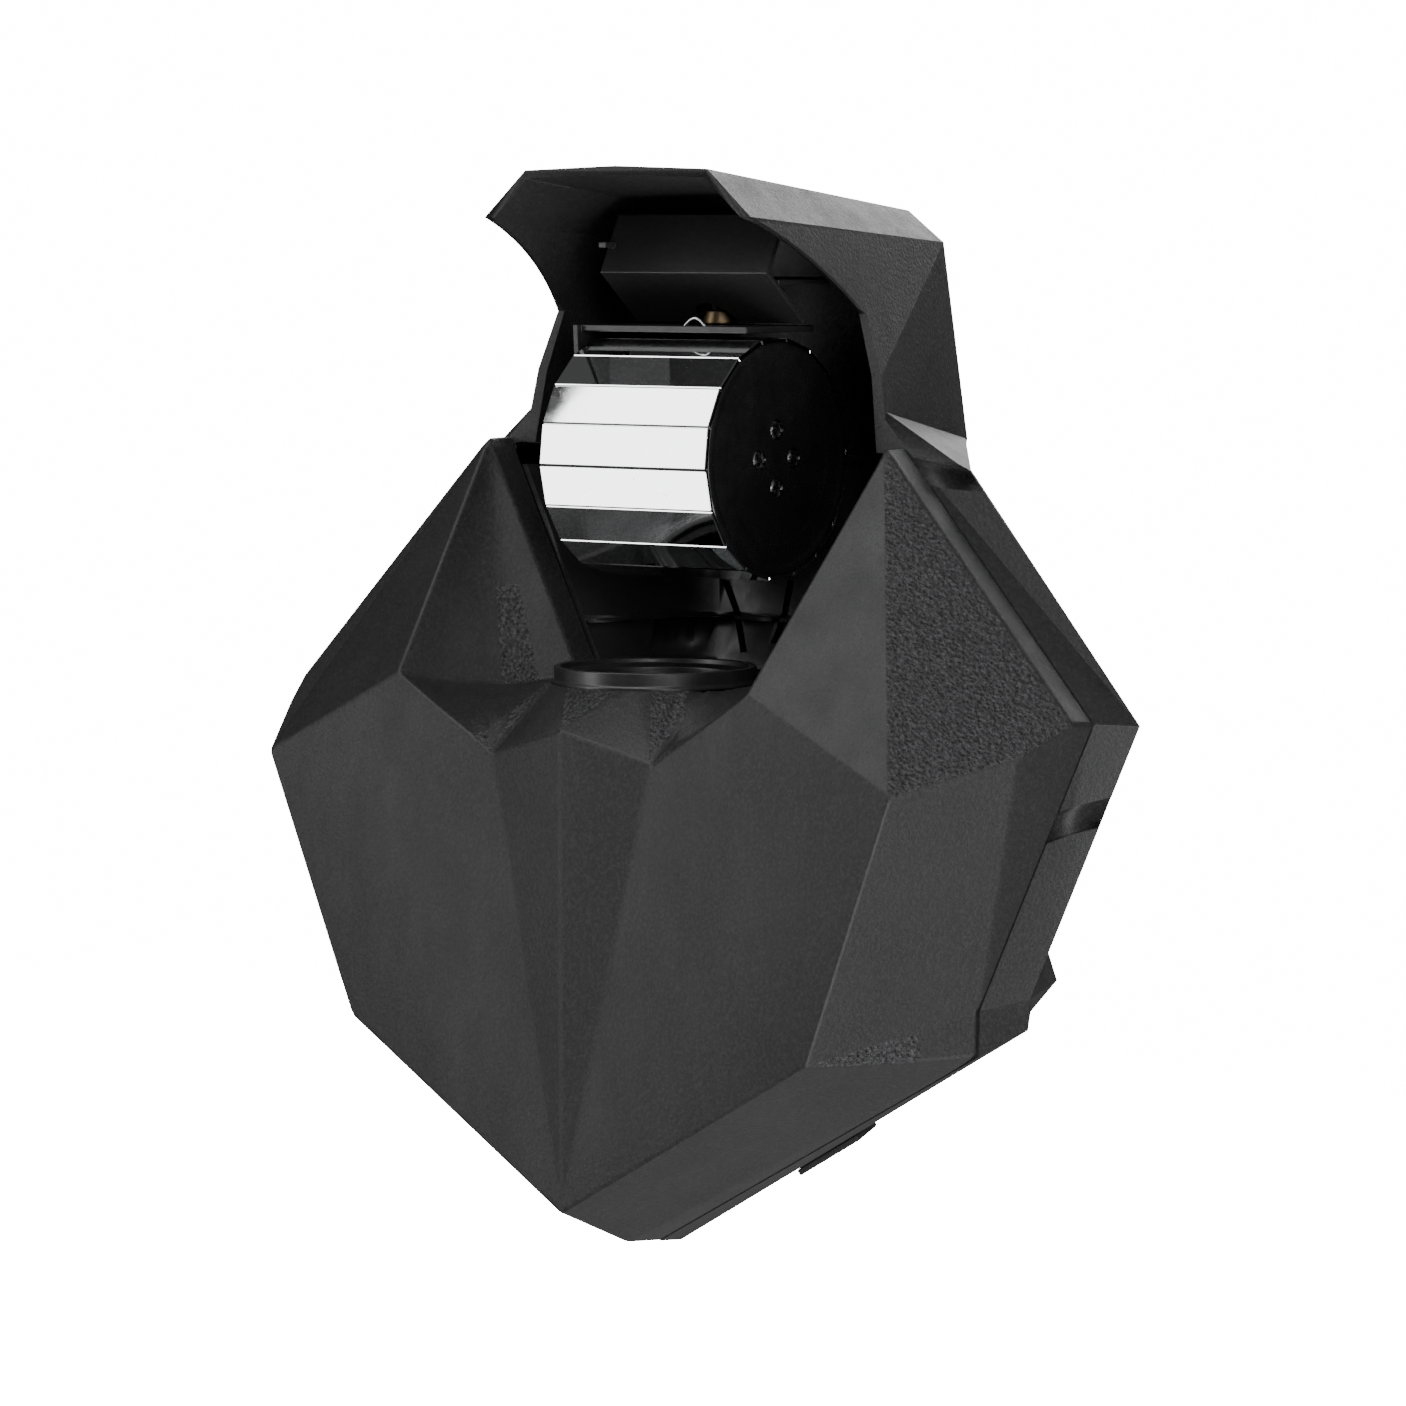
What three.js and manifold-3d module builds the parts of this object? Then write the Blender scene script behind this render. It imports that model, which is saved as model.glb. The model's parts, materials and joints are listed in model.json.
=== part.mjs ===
// Barrel scanner effect light: a faceted two-part housing, a collar that lets the beam out upwards, and a
// mirrored drum under a hood that throws the beam forwards. The drum spins and pans, the gobo and colour
// wheels turn in the beam, and the whole housing tilts in a short hanging bracket at the back.
//
// Millimetres, +Z up. The front of the light looks along -Y and the drum spins about X. The origin is the
// middle of the bracket's flat rear face. The parts are drawn in a frame of their own, whose y = 0 is where
// the parting line of the two shells crosses z = 0, and one group at the end moves them to the origin.

import * as THREE from 'three';
import { ConvexGeometry } from 'three/addons/geometries/ConvexGeometry.js';
import { mergeVertices } from 'three/addons/utils/BufferGeometryUtils.js';
import Module from 'manifold-3d';

const wasm = await Module();
wasm.setup();

// ---------------------------------------------------------------------------------------------------------
// Driving dimensions

const GAP = 0.3;                    // clearance between neighbouring pieces
const WALL = 2.5;                   // moulded wall of both shells
const SOFT = 0.02;                  // keeps an offset corner on nearly flat ground from sliding sideways
const PARTING_SLOPE = 0.088;        // the parting plane leans back by this much per mm of height
const RIM_DEPTH = 9.7;              // straight band in front of the parting plane
const REAR_FACE = 64;               // y of the flat back
const BRACKET_FACE = 122;           // y of the bracket's flat rear face

const COLLAR = { y: -16.1, radius: 30.6, bore: 25.3, top: 10.1, bottom: -4 };
const FLOOR_Z = 5;                  // floor of the bay that the collar stands in
const BEAM_Y = COLLAR.y;

const DRUM = { y: 3.8, z: 71.2, radius: 36, left: -31, right: 30.6, sides: 18 };
const MIRROR_THICK = 2;
const PAN_Y = 16;                   // the pan axis stands behind the drum's own axis
const YOKE_Z = 108.3;
const YOKE_PLATE = 2;

const WHEEL = { y: 17.9, ring: 34, radius: 42, hole: 6.5, bore: 2.2, thick: 1.2 };
const GOBO_Z = -52;
const COLOUR_Z = -58;

const PIVOT = { y: 77, z: 0 };      // tilt axis of the housing in its bracket
const BRACKET = { half: 56, thick: 3, width: 26, slotRadius: 5.2 };

const PANEL_THICK = 1.2;
const BUTTON = { x: [-27, -9, 9, 27], z: 26, radius: 3.6, travel: 1.2 };

// ---------------------------------------------------------------------------------------------------------
// Materials, one recipe for each finish

const finish = (color, roughness, metalness, extra = {}) =>
  () => new THREE.MeshStandardMaterial({ color, roughness, metalness, ...extra });

const blackPlastic = finish(0x1d1d1e, 0.55, 0.0);
const fineBlackPlastic = finish(0x141415, 0.4, 0.0);
const blackSteel = finish(0x18181a, 0.45, 0.6);
const bareSteel = finish(0xa9abad, 0.35, 1.0);
const aluminium = finish(0x9c9fa3, 0.4, 1.0);
const mirrorGlass = finish(0xf2f4f6, 0.04, 1.0);
const clearGlass = finish(0xdfe9ee, 0.05, 0.0, { transparent: true, opacity: 0.4 });
const greenBoard = finish(0x1f4d2e, 0.6, 0.0);
const brass = finish(0xb08a3e, 0.35, 1.0);
const rubber = finish(0x101010, 0.85, 0.0);
const displayGlass = finish(0x0b1c22, 0.15, 0.0);
const ledYellow = finish(0xd9c24a, 0.4, 0.0);

// ---------------------------------------------------------------------------------------------------------
// Solids

const DEG = Math.PI / 180;
const vec = (x, y, z) => new THREE.Vector3(x, y, z);
const parting = (z) => PARTING_SLOPE * z;
const mirrored = (p) => vec(-p.x, p.y, p.z);
const withMirror = (points) => [...points, ...points.map(mirrored)];

function toSolid(geometry) {
  const bare = geometry.index ? geometry.toNonIndexed() : geometry.clone();
  bare.deleteAttribute('normal');
  bare.deleteAttribute('uv');
  const merged = mergeVertices(bare, 1e-4);
  return new wasm.Manifold(new wasm.Mesh({
    numProp: 3,
    vertProperties: new Float32Array(merged.attributes.position.array),
    triVerts: new Uint32Array(merged.index.array),
  }));
}

function toGeometry(solid) {
  const mesh = solid.getMesh();
  const geometry = new THREE.BufferGeometry();
  const positions = new Float32Array(mesh.vertProperties);
  geometry.setAttribute('position', new THREE.BufferAttribute(positions, 3));
  geometry.setIndex(new THREE.BufferAttribute(new Uint32Array(mesh.triVerts), 1));
  return geometry;
}

const union = (...solids) => solids.reduce((sum, solid) => sum.add(solid));
const cut = (body, ...tools) => tools.reduce((rest, tool) => rest.subtract(tool), body);
const hull = (points) => toSolid(new ConvexGeometry(points));

function block([x0, y0, z0], [x1, y1, z1]) {
  const geometry = new THREE.BoxGeometry(x1 - x0, y1 - y0, z1 - z0);
  return toSolid(geometry.translate((x0 + x1) / 2, (y0 + y1) / 2, (z0 + z1) / 2));
}

// A turned body about the Z axis from a closed [radius, height] profile, then laid along the wanted axis.
function turned(profile, segments, axis = 'z') {
  const points = profile.map(([radius, height]) => new THREE.Vector2(radius, height));
  if (THREE.ShapeUtils.area(points) < 0) points.reverse();
  const geometry = new THREE.LatheGeometry([...points, points[0].clone()], segments);
  geometry.rotateX(Math.PI / 2);
  if (axis === 'x') geometry.rotateY(Math.PI / 2);
  if (axis === 'y') geometry.rotateX(-Math.PI / 2);
  return geometry;
}

const AXIS_CODE = { x: [0, 1, 2], y: [1, 2, 0], z: [2, 0, 1] };

// A cylinder between two heights on an axis parallel to x, y or z; at holds the other two coordinates.
function rod(axis, radius, from, to, at, segments = 32) {
  const geometry = new THREE.CylinderGeometry(radius, radius, to - from, segments);
  geometry.rotateX(Math.PI / 2);
  if (axis === 'x') geometry.rotateY(Math.PI / 2);
  if (axis === 'y') geometry.rotateX(-Math.PI / 2);
  const [main, second, third] = AXIS_CODE[axis];
  const place = [0, 0, 0];
  place[main] = (from + to) / 2;
  const [low, high] = [second, third].sort();
  place[low] = at[0];
  place[high] = at[1];
  return toSolid(geometry.translate(...place));
}

// A right prism of an outline in the XZ plane between two depths y.
function slab(outline, y0, y1) {
  const shape = new THREE.Shape(outline.map(([x, z]) => new THREE.Vector2(x, z)));
  const geometry = new THREE.ExtrudeGeometry(shape, { depth: y1 - y0, bevelEnabled: false });
  geometry.rotateX(Math.PI / 2);
  return toSolid(geometry.translate(0, y1, 0));
}

// A right prism of a side outline [y, z] between two widths x.
function sidePrism(outline, x0, x1) {
  const shape = new THREE.Shape(outline.map(([y, z]) => new THREE.Vector2(y, z)));
  const geometry = new THREE.ExtrudeGeometry(shape, { depth: x1 - x0, bevelEnabled: false });
  const basis = new THREE.Matrix4().makeBasis(vec(0, 1, 0), vec(0, 0, 1), vec(1, 0, 0));
  return toSolid(geometry.applyMatrix4(basis).translate(x0, 0, 0));
}

// The half outline of a symmetric shape, completed with its mirror image.
const bothSides = (half) => [...half, ...half.filter(([x]) => x > 0).reverse().map(([x, z]) => [-x, z])];

// Moves each side of a closed outline inwards by a distance and joins the sides again.
function inset(outline, distance) {
  const points = outline.map(([x, z]) => new THREE.Vector2(x, z));
  const turn = Math.sign(THREE.ShapeUtils.area(points));
  return points.map((point, i) => {
    const before = points[(i + points.length - 1) % points.length];
    const after = points[(i + 1) % points.length];
    const a = point.clone().sub(before).normalize();
    const b = after.clone().sub(point).normalize();
    const normalA = new THREE.Vector2(-a.y, a.x).multiplyScalar(turn);
    const normalB = new THREE.Vector2(-b.y, b.x).multiplyScalar(turn);
    const bisector = normalA.clone().add(normalB);
    const reach = distance / (0.5 * bisector.lengthSq());
    return [point.x + bisector.x * reach, point.y + bisector.y * reach];
  });
}

// ---------------------------------------------------------------------------------------------------------
// A faceted symmetric body from the faces of its right half. Each face is a loop of points, turned so that
// it looks away from a core point inside. Faces may carry their own wall distance, so the same list gives
// the outside of a shell, and its inside moved in by the wall (or moved out, where the shell is open).

function triangles(face) {
  const [a, b, c] = face.loop;
  const normal = face.flat ?? vec(0, 0, 0).crossVectors(b.clone().sub(a), c.clone().sub(a));
  const size = [Math.abs(normal.x), Math.abs(normal.y), Math.abs(normal.z)];
  const drop = size.indexOf(Math.max(...size));
  const [u, v] = [['y', 'z'], ['x', 'z'], ['x', 'y']][drop];
  const outline = face.loop.map((p) => new THREE.Vector2(p[u], p[v]));
  return THREE.ShapeUtils.triangulateShape(outline, []).map((three) => three.map((i) => face.loop[i]));
}

function facetedBody(faces, core, wall) {
  const keyOf = (p) => [p.x, p.y, p.z].map((value) => value.toFixed(3)).join();
  const halves = faces.flatMap((face) => triangles(face).map((corners) => {
    const normal = vec(0, 0, 0).crossVectors(
      corners[1].clone().sub(corners[0]), corners[2].clone().sub(corners[0])).normalize();
    const outward = normal.dot(corners[0].clone().sub(core)) > 0;
    return {
      corners: outward ? corners : [corners[0], corners[2], corners[1]],
      normal: outward ? normal : normal.negate(),
      wall: wall === 0 ? 0 : (face.wall ?? wall),
    };
  }));
  const planes = new Map();
  for (const { corners, normal, wall: distance } of halves) {
    for (const corner of corners) {
      const key = keyOf(corner);
      if (!planes.has(key)) planes.set(key, []);
      const list = planes.get(key);
      const known = (n) => list.some((plane) => plane.normal.dot(n) > 0.9999);
      if (!known(normal)) list.push({ normal, distance });
      if (Math.abs(corner.x) < 1e-6) {
        const twin = mirrored(normal);
        if (!known(twin)) list.push({ normal: twin, distance });
      }
    }
  }
  // The shift d of a corner that best meets normal . d = -distance on every plane through it.
  const moved = (corner) => {
    if (wall === 0) return corner;
    const m = new THREE.Matrix3().set(SOFT, 0, 0, 0, SOFT, 0, 0, 0, SOFT);
    const e = m.elements;
    const right = vec(0, 0, 0);
    for (const { normal, distance } of planes.get(keyOf(corner))) {
      const n = normal.toArray();
      for (let i = 0; i < 3; i += 1) {
        for (let j = 0; j < 3; j += 1) e[3 * j + i] += n[i] * n[j];
      }
      right.addScaledVector(normal, -distance);
    }
    return right.applyMatrix3(m.invert()).add(corner);
  };
  const positions = [];
  for (const { corners } of halves) {
    const points = corners.map(moved);
    for (const p of points) positions.push(p.x, p.y, p.z);
    for (const p of [points[0], points[2], points[1]]) positions.push(-p.x, p.y, p.z);
  }
  const geometry = new THREE.BufferGeometry();
  geometry.setAttribute('position', new THREE.BufferAttribute(new Float32Array(positions), 3));
  return toSolid(geometry);
}

// ---------------------------------------------------------------------------------------------------------
// Corners of the housing, right-hand side

const onParting = (x, z, forward = 0) => vec(x, parting(z) - forward, z);
const CORE = vec(70, -10, -25);

const nose = vec(0, -61.9, -6.1);
const brow = vec(29.5, -56.9, -14.7);
const crest = vec(64.0, -58.1, 7.6);
const cheek = vec(114.5, -59.2, -18.6);
const jaw = vec(84.3, -56.9, -97.0);
const chin = vec(0, -61.6, -147.8);
const keel = vec(0, -30.0, -161.4);
const hornTip = onParting(73.8, 75.8, RIM_DEPTH);
const hornBack = onParting(73.5, 76.0);
const sideTip = onParting(142.9, 0.1, RIM_DEPTH);
const sideTipBack = onParting(143.8, -0.6);
const sideLedge = vec(135.7, -26.5, -8.9);
const heelTop = vec(100.6, -24.9, -89.9);
const heelLow = vec(100.5, -24.7, -98.0);
const heelTopBack = onParting(110.2, -84.5);
const heelLowBack = onParting(110.8, -97.7);
const keelBack = onParting(0, -163.2);
const lipFoot = onParting(33.8, FLOOR_Z, RIM_DEPTH);
const lipFootBack = onParting(33.8, FLOOR_Z);
const floorBack = onParting(0, FLOOR_Z);

// The bay's slope ends on a ring round the collar.
const BAY_RING = 32;
const JUNCTION_ANGLE = -36.9;       // where the slope hands over to the valley wall
const ringPoint = (angle) => vec(
  BAY_RING * Math.cos(angle * DEG), COLLAR.y + BAY_RING * Math.sin(angle * DEG), FLOOR_Z);
const between = (a, b, steps) => Array.from(
  { length: steps + 1 }, (_, i) => a.clone().lerp(b, i / steps));
const slopeRing = Array.from({ length: 7 }, (_, i) => ringPoint(-90 + (i / 6) * (90 + JUNCTION_ANGLE)));
const wallRing = Array.from({ length: 4 }, (_, i) => ringPoint(JUNCTION_ANGLE * (1 - i / 3)));

// The valley wall is a hollow sheet between the crest line and the line along the bay and the lip.
const VALLEY_STEPS = 5;
const VALLEY_SAG = 6;
const VALLEY_INWARD = vec(0.70, 0.40, -0.58);
const crestLine = [...between(brow, crest, 5), ...between(crest, hornTip, 5).slice(1)];
const lipLine = [brow, ...wallRing, ...between(lipFoot, hornTip, 5)];
const valleyPoint = (i, j) => {
  const point = crestLine[j].clone().lerp(lipLine[j], i / VALLEY_STEPS);
  const across = 4 * (i / VALLEY_STEPS) * (1 - i / VALLEY_STEPS);
  const along = Math.sin(Math.PI * (j / (crestLine.length - 1)));
  return point.addScaledVector(VALLEY_INWARD, VALLEY_SAG * across * along);
};

function valleyFaces() {
  const faces = [];
  for (let j = 0; j < crestLine.length - 1; j += 1) {
    for (let i = 0; i < VALLEY_STEPS; i += 1) {
      const corners = [
        valleyPoint(i, j), valleyPoint(i + 1, j), valleyPoint(i + 1, j + 1), valleyPoint(i, j + 1)];
      if (j > 0) faces.push({ loop: [corners[0], corners[1], corners[2]] });
      if (j < crestLine.length - 2) faces.push({ loop: [corners[0], corners[2], corners[3]] });
    }
  }
  return faces;
}

function frontFaces() {
  const opening = -2;
  const turnover = 3;
  const slope = slopeRing.slice(1).map((point, i) => (
    { loop: [i < turnover ? nose : brow, slopeRing[i], point] }));
  return [
    { loop: [nose, brow, chin] },
    ...between(brow, crest, 5).slice(1).map((p, i, list) => ({ loop: [i ? list[i - 1] : brow, p, chin] })),
    { loop: [crest, cheek, chin] },
    { loop: [cheek, jaw, chin] },
    ...between(crest, hornTip, 5).slice(1).map((p, i, list) => (
      { loop: [i ? list[i - 1] : crest, p, cheek] })),
    { loop: [cheek, hornTip, sideTip] },
    { loop: [cheek, sideTip, sideLedge] },
    { loop: [hornTip, hornBack, sideTipBack] },
    { loop: [hornTip, sideTipBack, sideTip] },
    { loop: [cheek, sideLedge, heelTopBack] },
    { loop: [sideLedge, sideTip, heelTopBack] },
    { loop: [sideTip, sideTipBack, heelTopBack] },
    { loop: [cheek, heelTopBack, heelTop] },
    { loop: [cheek, heelTop, jaw] },
    { loop: [jaw, heelTop, heelLow] },
    { loop: [heelTop, heelTopBack, heelLow] },
    { loop: [heelLow, heelTopBack, heelLowBack] },
    { loop: [chin, jaw, keel] },
    { loop: [jaw, heelLow, keel] },
    { loop: [keel, heelLow, heelLowBack] },
    { loop: [keel, heelLowBack, keelBack] },
    { loop: [nose, slopeRing[turnover], brow] },
    ...slope,
    { loop: [...slopeRing, ...wallRing.slice(1), lipFoot, lipFootBack, floorBack], flat: vec(0, 0, 1) },
    ...valleyFaces(),
    { loop: [...between(lipFoot, hornTip, 5), hornBack, lipFootBack], flat: vec(-1, 0, 0.5) },
    {
      loop: [hornBack, sideTipBack, heelTopBack, heelLowBack, keelBack, floorBack, lipFootBack],
      flat: vec(0, 1, 0),
      wall: opening,
    },
  ];
}

function frontShell() {
  const faces = frontFaces();
  const outside = facetedBody(faces, CORE, 0);
  const inside = facetedBody(faces, CORE, WALL);
  const well = rod('z', COLLAR.radius + GAP, -40, 40, [0, COLLAR.y], 48);
  return cut(outside, inside, well);
}

// ---------------------------------------------------------------------------------------------------------
// Rear shell: side walls that flare out from the parting line, a body that tapers to the flat back, and the
// hood with its visor, all one moulding.

const BODY_CORE = vec(30, 30, -20);
const nudge = (p) => vec(p.x, p.y + GAP, p.z);
const topOuter = vec(91.0, 16.0, 68.2);
const sideOuter = vec(151.4, 12.2, -1.6);
const heelTopOuter = vec(117.4, 7.9, -82.4);
const heelLowOuter = vec(117.2, 7.4, -91.3);
const keelOuter = vec(0, -3.4, -164.5);
const BACK_OUTLINE = [[55, 71], [86.8, -76.2], [90.4, -85.6], [81, -96], [60, -108]];
const [backTop, backNotch, backHeel, backChamfer, backLow] = BACK_OUTLINE.map(
  ([x, z]) => vec(x, REAR_FACE, z));
const backCentre = vec(0, REAR_FACE, -108);
const backTopCentre = vec(0, REAR_FACE, 71);
const frontTopCentre = nudge(onParting(0, 76));

function bodyFaces() {
  const [horn, side, heelA, heelB, keelF] = [
    hornBack, sideTipBack, heelTopBack, heelLowBack, keelBack].map(nudge);
  return [
    { loop: [horn, side, sideOuter] },
    { loop: [horn, sideOuter, topOuter] },
    { loop: [side, heelA, heelTopOuter] },
    { loop: [side, heelTopOuter, sideOuter] },
    { loop: [heelA, heelB, heelLowOuter] },
    { loop: [heelA, heelLowOuter, heelTopOuter] },
    { loop: [heelB, keelF, keelOuter] },
    { loop: [heelB, keelOuter, heelLowOuter] },
    { loop: [topOuter, sideOuter, backTop] },
    { loop: [sideOuter, heelTopOuter, backNotch] },
    { loop: [heelTopOuter, backHeel, backNotch] },
    { loop: [sideOuter, backNotch, backTop] },
    { loop: [heelTopOuter, heelLowOuter, backChamfer] },
    { loop: [heelTopOuter, backChamfer, backHeel] },
    { loop: [heelLowOuter, backLow, backChamfer] },
    { loop: [heelLowOuter, keelOuter, backLow] },
    { loop: [keelOuter, backCentre, backLow] },
    { loop: [horn, topOuter, backTop] },
    { loop: [horn, backTop, backTopCentre] },
    { loop: [horn, backTopCentre, frontTopCentre] },
    {
      loop: [backTop, backNotch, backHeel, backChamfer, backLow, backCentre, backTopCentre],
      flat: vec(0, 1, 0),
    },
    { loop: [horn, side, heelA, heelB, keelF, frontTopCentre], flat: vec(0, 1, 0), wall: -2 },
  ];
}

// The hood's outline at its front and at its back, from the roof's middle to a foot inside the body.
const HOOD = {
  front: { y: -35.3, half: [[0, 157.2], [33.5, 156.1], [49, 142.3], [65.5, 97.4], [77, 66]] },
  rear: { y: 65, half: [[0, 145.3], [34.6, 144.5], [47.5, 134.9], [56.4, 76.2], [55, 66]] },
};

// The hood as a block that narrows towards the back. Its inside is the same block within the walls, carried
// on past the front so that it leaves the visor open.
function hoodBlock(wall) {
  const { front, rear } = HOOD;
  const depth = front.y - rear.y;
  const ring = (y) => bothSides(rear.half.map(([x, z], i) => {
    const share = (y - rear.y) / depth;
    return [x + (front.half[i][0] - x) * share, z + (front.half[i][1] - z) * share];
  }));
  const within = (outline) => (
    wall === 0 ? outline : inset(outline, wall).map(([x, z]) => [x, z < 80 ? 62 : z]));
  const near = wall === 0 ? front.y : front.y - 4;
  return hull([near, rear.y - wall].flatMap((y) => within(ring(y)).map(([x, z]) => vec(x, y, z))));
}

// What is cut away in front of the hood: below the visor its edge sweeps back in a hollow curve.
function visorCut() {
  const sweep = new THREE.QuadraticBezierCurve(
    new THREE.Vector2(HOOD.front.y, 142.3), new THREE.Vector2(-8, 133),
    new THREE.Vector2(parting(114) + GAP, 114));
  const edge = sweep.getPoints(10).map((p) => [p.x, p.y]);
  const foot = 50;
  return sidePrism([[-90, 142.3], [-90, foot], [parting(foot) + GAP, foot], ...edge.reverse()], -100, 100);
}

// The sloping shoulder that spreads from the foot of the hood to the body.
const shoulder = () => hull(withMirror([
  vec(61.6, 7.8 + GAP, 88.3), vec(56.4, REAR_FACE, 76.2), nudge(hornBack), topOuter, backTop]));

// Two screw channels on each side run from the parting line out over the flare.
const CHANNELS = [
  { from: vec(76, 2, 71), to: vec(96, 22, 63.5) },
  { from: vec(129.5, -7, -32), to: vec(146, 17.5, -25) },
];

const CHANNEL_RADIUS = 4.3;

function channelRods(radius) {
  return CHANNELS.flatMap(({ from, to }) => [1, -1].map((side) => {
    const start = vec(from.x * side, from.y, from.z);
    const end = vec(to.x * side, to.y, to.z);
    const along = end.clone().sub(start);
    const geometry = new THREE.CylinderGeometry(radius, radius + 0.3, along.length(), 20);
    geometry.applyQuaternion(new THREE.Quaternion().setFromUnitVectors(vec(0, 1, 0), along.normalize()));
    const middle = start.add(end).multiplyScalar(0.5);
    return toSolid(geometry.translate(middle.x, middle.y, middle.z));
  }));
}

// A ledge under the hood that the rear panel's top edge rests on, and the root that joins it to the hood.
const TOP_LEDGE = [
  [[-47, 59.8, 64.4], [47, 62.4, 70.5]],
  [[-47, 62, 68], [47, 63.5, 70.5]],
];

const PANEL_OUTLINE = bothSides([[0, 71], ...BACK_OUTLINE, [0, -108]]);
const PANEL_REBATE = 3.5;
const PANEL_LEDGE = 8;
const PANEL_SCREWS = [1, -1].flatMap((side) => [[51.3 * side, 62], [69.6 * side, -28], [80.4 * side, -88]]);

function rearShell() {
  const outside = union(facetedBody(bodyFaces(), BODY_CORE, 0), cut(hoodBlock(0), visorCut()), shoulder());
  const holes = PANEL_SCREWS.map(([x, z]) => rod('y', 1.7, REAR_FACE - 6, REAR_FACE + 2, [x, z], 12));
  const inside = union(facetedBody(bodyFaces(), BODY_CORE, WALL), hoodBlock(WALL));
  const hollow = cut(inside, ...channelRods(CHANNEL_RADIUS + WALL));
  const shell = cut(outside, hollow, ...channelRods(CHANNEL_RADIUS), ...holes,
    slab(inset(PANEL_OUTLINE, PANEL_LEDGE), REAR_FACE - 12, REAR_FACE + 5),
    slab(inset(PANEL_OUTLINE, PANEL_REBATE), REAR_FACE - PANEL_THICK - GAP, REAR_FACE + 5));
  return union(shell, ...TOP_LEDGE.map(([low, high]) => block(low, high)));
}

// ---------------------------------------------------------------------------------------------------------
// Bay liner: floor, rounded back wall and sides that close the drum's bay off from the electronics

const LINER_LEVELS = [
  { z: 3.4, depth: 35 }, { z: 9, depth: 38 }, { z: 22, depth: 46 }, { z: 40, depth: 51.5 },
  { z: 67, depth: 56 }];
const LINER_WALL = 2;
const LINER_TURN = 18;
const LINER_CORNER = 0.4;           // below 1 the rounds are squarish, at 1 they are half ellipses

// One round of the liner's wall at a height: a squarish U, w wide at the front and narrower at the back.
function linerRound(z, depth, outward) {
  const front = 33.2 + 0.555 * (z - FLOOR_Z) + outward - 0.6;
  const back = 26 + 0.42 * (z - FLOOR_Z) + outward;
  const start = parting(z) + 1;
  return Array.from({ length: LINER_TURN + 1 }, (_, i) => {
    const angle = (i / LINER_TURN) * Math.PI;
    const across = Math.sign(Math.cos(angle)) * Math.abs(Math.cos(angle)) ** LINER_CORNER;
    const deep = Math.abs(Math.sin(angle)) ** LINER_CORNER;
    const width = THREE.MathUtils.lerp(front, back, deep);
    return vec(width * across, start + (depth + outward - start) * deep, z);
  });
}

function linerWall() {
  const rounds = LINER_LEVELS.map(({ z, depth }) => (
    [...linerRound(z, depth, 0), ...linerRound(z, depth, LINER_WALL).reverse()]));
  const positions = [];
  const quad = (a, b, c, d) => {
    for (const p of [a, b, c, a, c, d]) positions.push(p.x, p.y, p.z);
  };
  const count = rounds[0].length;
  for (let k = 0; k < rounds.length - 1; k += 1) {
    for (let i = 0; i < count; i += 1) {
      const next = (i + 1) % count;
      quad(rounds[k][next], rounds[k][i], rounds[k + 1][i], rounds[k + 1][next]);
    }
  }
  for (const [round, up] of [[rounds[0], false], [rounds.at(-1), true]]) {
    for (let i = 0; i < LINER_TURN; i += 1) {
      const [a, b, c, d] = [round[i], round[i + 1], round[count - 2 - i], round[count - 1 - i]];
      if (up) quad(d, c, b, a);
      else quad(a, b, c, d);
    }
  }
  const geometry = new THREE.BufferGeometry();
  geometry.setAttribute('position', new THREE.BufferAttribute(new Float32Array(positions), 3));
  const solid = toSolid(geometry);
  return solid.volume() > 0 ? solid : toSolid(flipped(geometry));
}

function flipped(geometry) {
  const array = geometry.attributes.position.array;
  for (let i = 0; i < array.length; i += 9) {
    for (let k = 0; k < 3; k += 1) {
      [array[i + 3 + k], array[i + 6 + k]] = [array[i + 6 + k], array[i + 3 + k]];
    }
  }
  return geometry;
}

function bayLiner() {
  const wall = linerWall();
  const outer = hull([...linerRound(3.4, 35, 0.5), ...linerRound(5.4, 36, 0.5)]);
  const ribAt = hull([...linerRound(19.6, 44.2, 0.5), ...linerRound(20.8, 44.8, 0.5)]);
  const ribHollow = hull([...linerRound(19, 42, -0.9), ...linerRound(21.5, 43.2, -0.9)]);
  const well = rod('z', COLLAR.radius + GAP, -10, 30, [0, COLLAR.y], 48);
  const slots = [
    hull([vec(-23, 30, 31), vec(-20.5, 30, 31), vec(-23, 60, 31), vec(-20.5, 60, 31),
      vec(-9, 30, 10), vec(-6.5, 30, 10), vec(-9, 60, 10), vec(-6.5, 60, 10)]),
    block([1.2, 30, 13], [3.6, 60, 32])];
  return cut(union(wall, outer, cut(ribAt, ribHollow)), well, ...slots);
}

// ---------------------------------------------------------------------------------------------------------
// Optics under the collar

function collar() {
  const { radius, bore, top, bottom } = COLLAR;
  return turned([
    [bore, bottom], [radius, bottom], [radius, top - 1], [radius - 0.6, top - 0.3], [radius - 1.4, top],
    [bore + 1.2, top], [bore, top - 1.2]], 40).translate(0, COLLAR.y, 0);
}

const LENS_TUBE = { top: -4.4, step: -14, neck: 15.5, bottom: -46, wall: 2 };

function lensTube() {
  const { top, step, neck, bottom, wall } = LENS_TUBE;
  return turned([
    [29.5, top], [24, top], [24, step], [neck, bottom], [neck + wall, bottom], [26, step - 1],
    [26, top - 2], [29.5, top - 2]], 30).translate(0, BEAM_Y, 0);
}

const arc = (radius, sag, height, steps) => Array.from({ length: steps + 1 }, (_, i) => {
  const r = radius * (i / steps);
  return [r, height + sag * (1 - (r / radius) ** 2)];
});

const frontLens = () => turned(
  [...arc(23.6, 4, -8, 4), [23.6, -11], [0, -11]], 30).translate(0, BEAM_Y, 0);
const condenser = () => turned(
  [...arc(12, 5, -65, 4), [12, -67], [0, -67]], 24).translate(0, BEAM_Y, 0);

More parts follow.
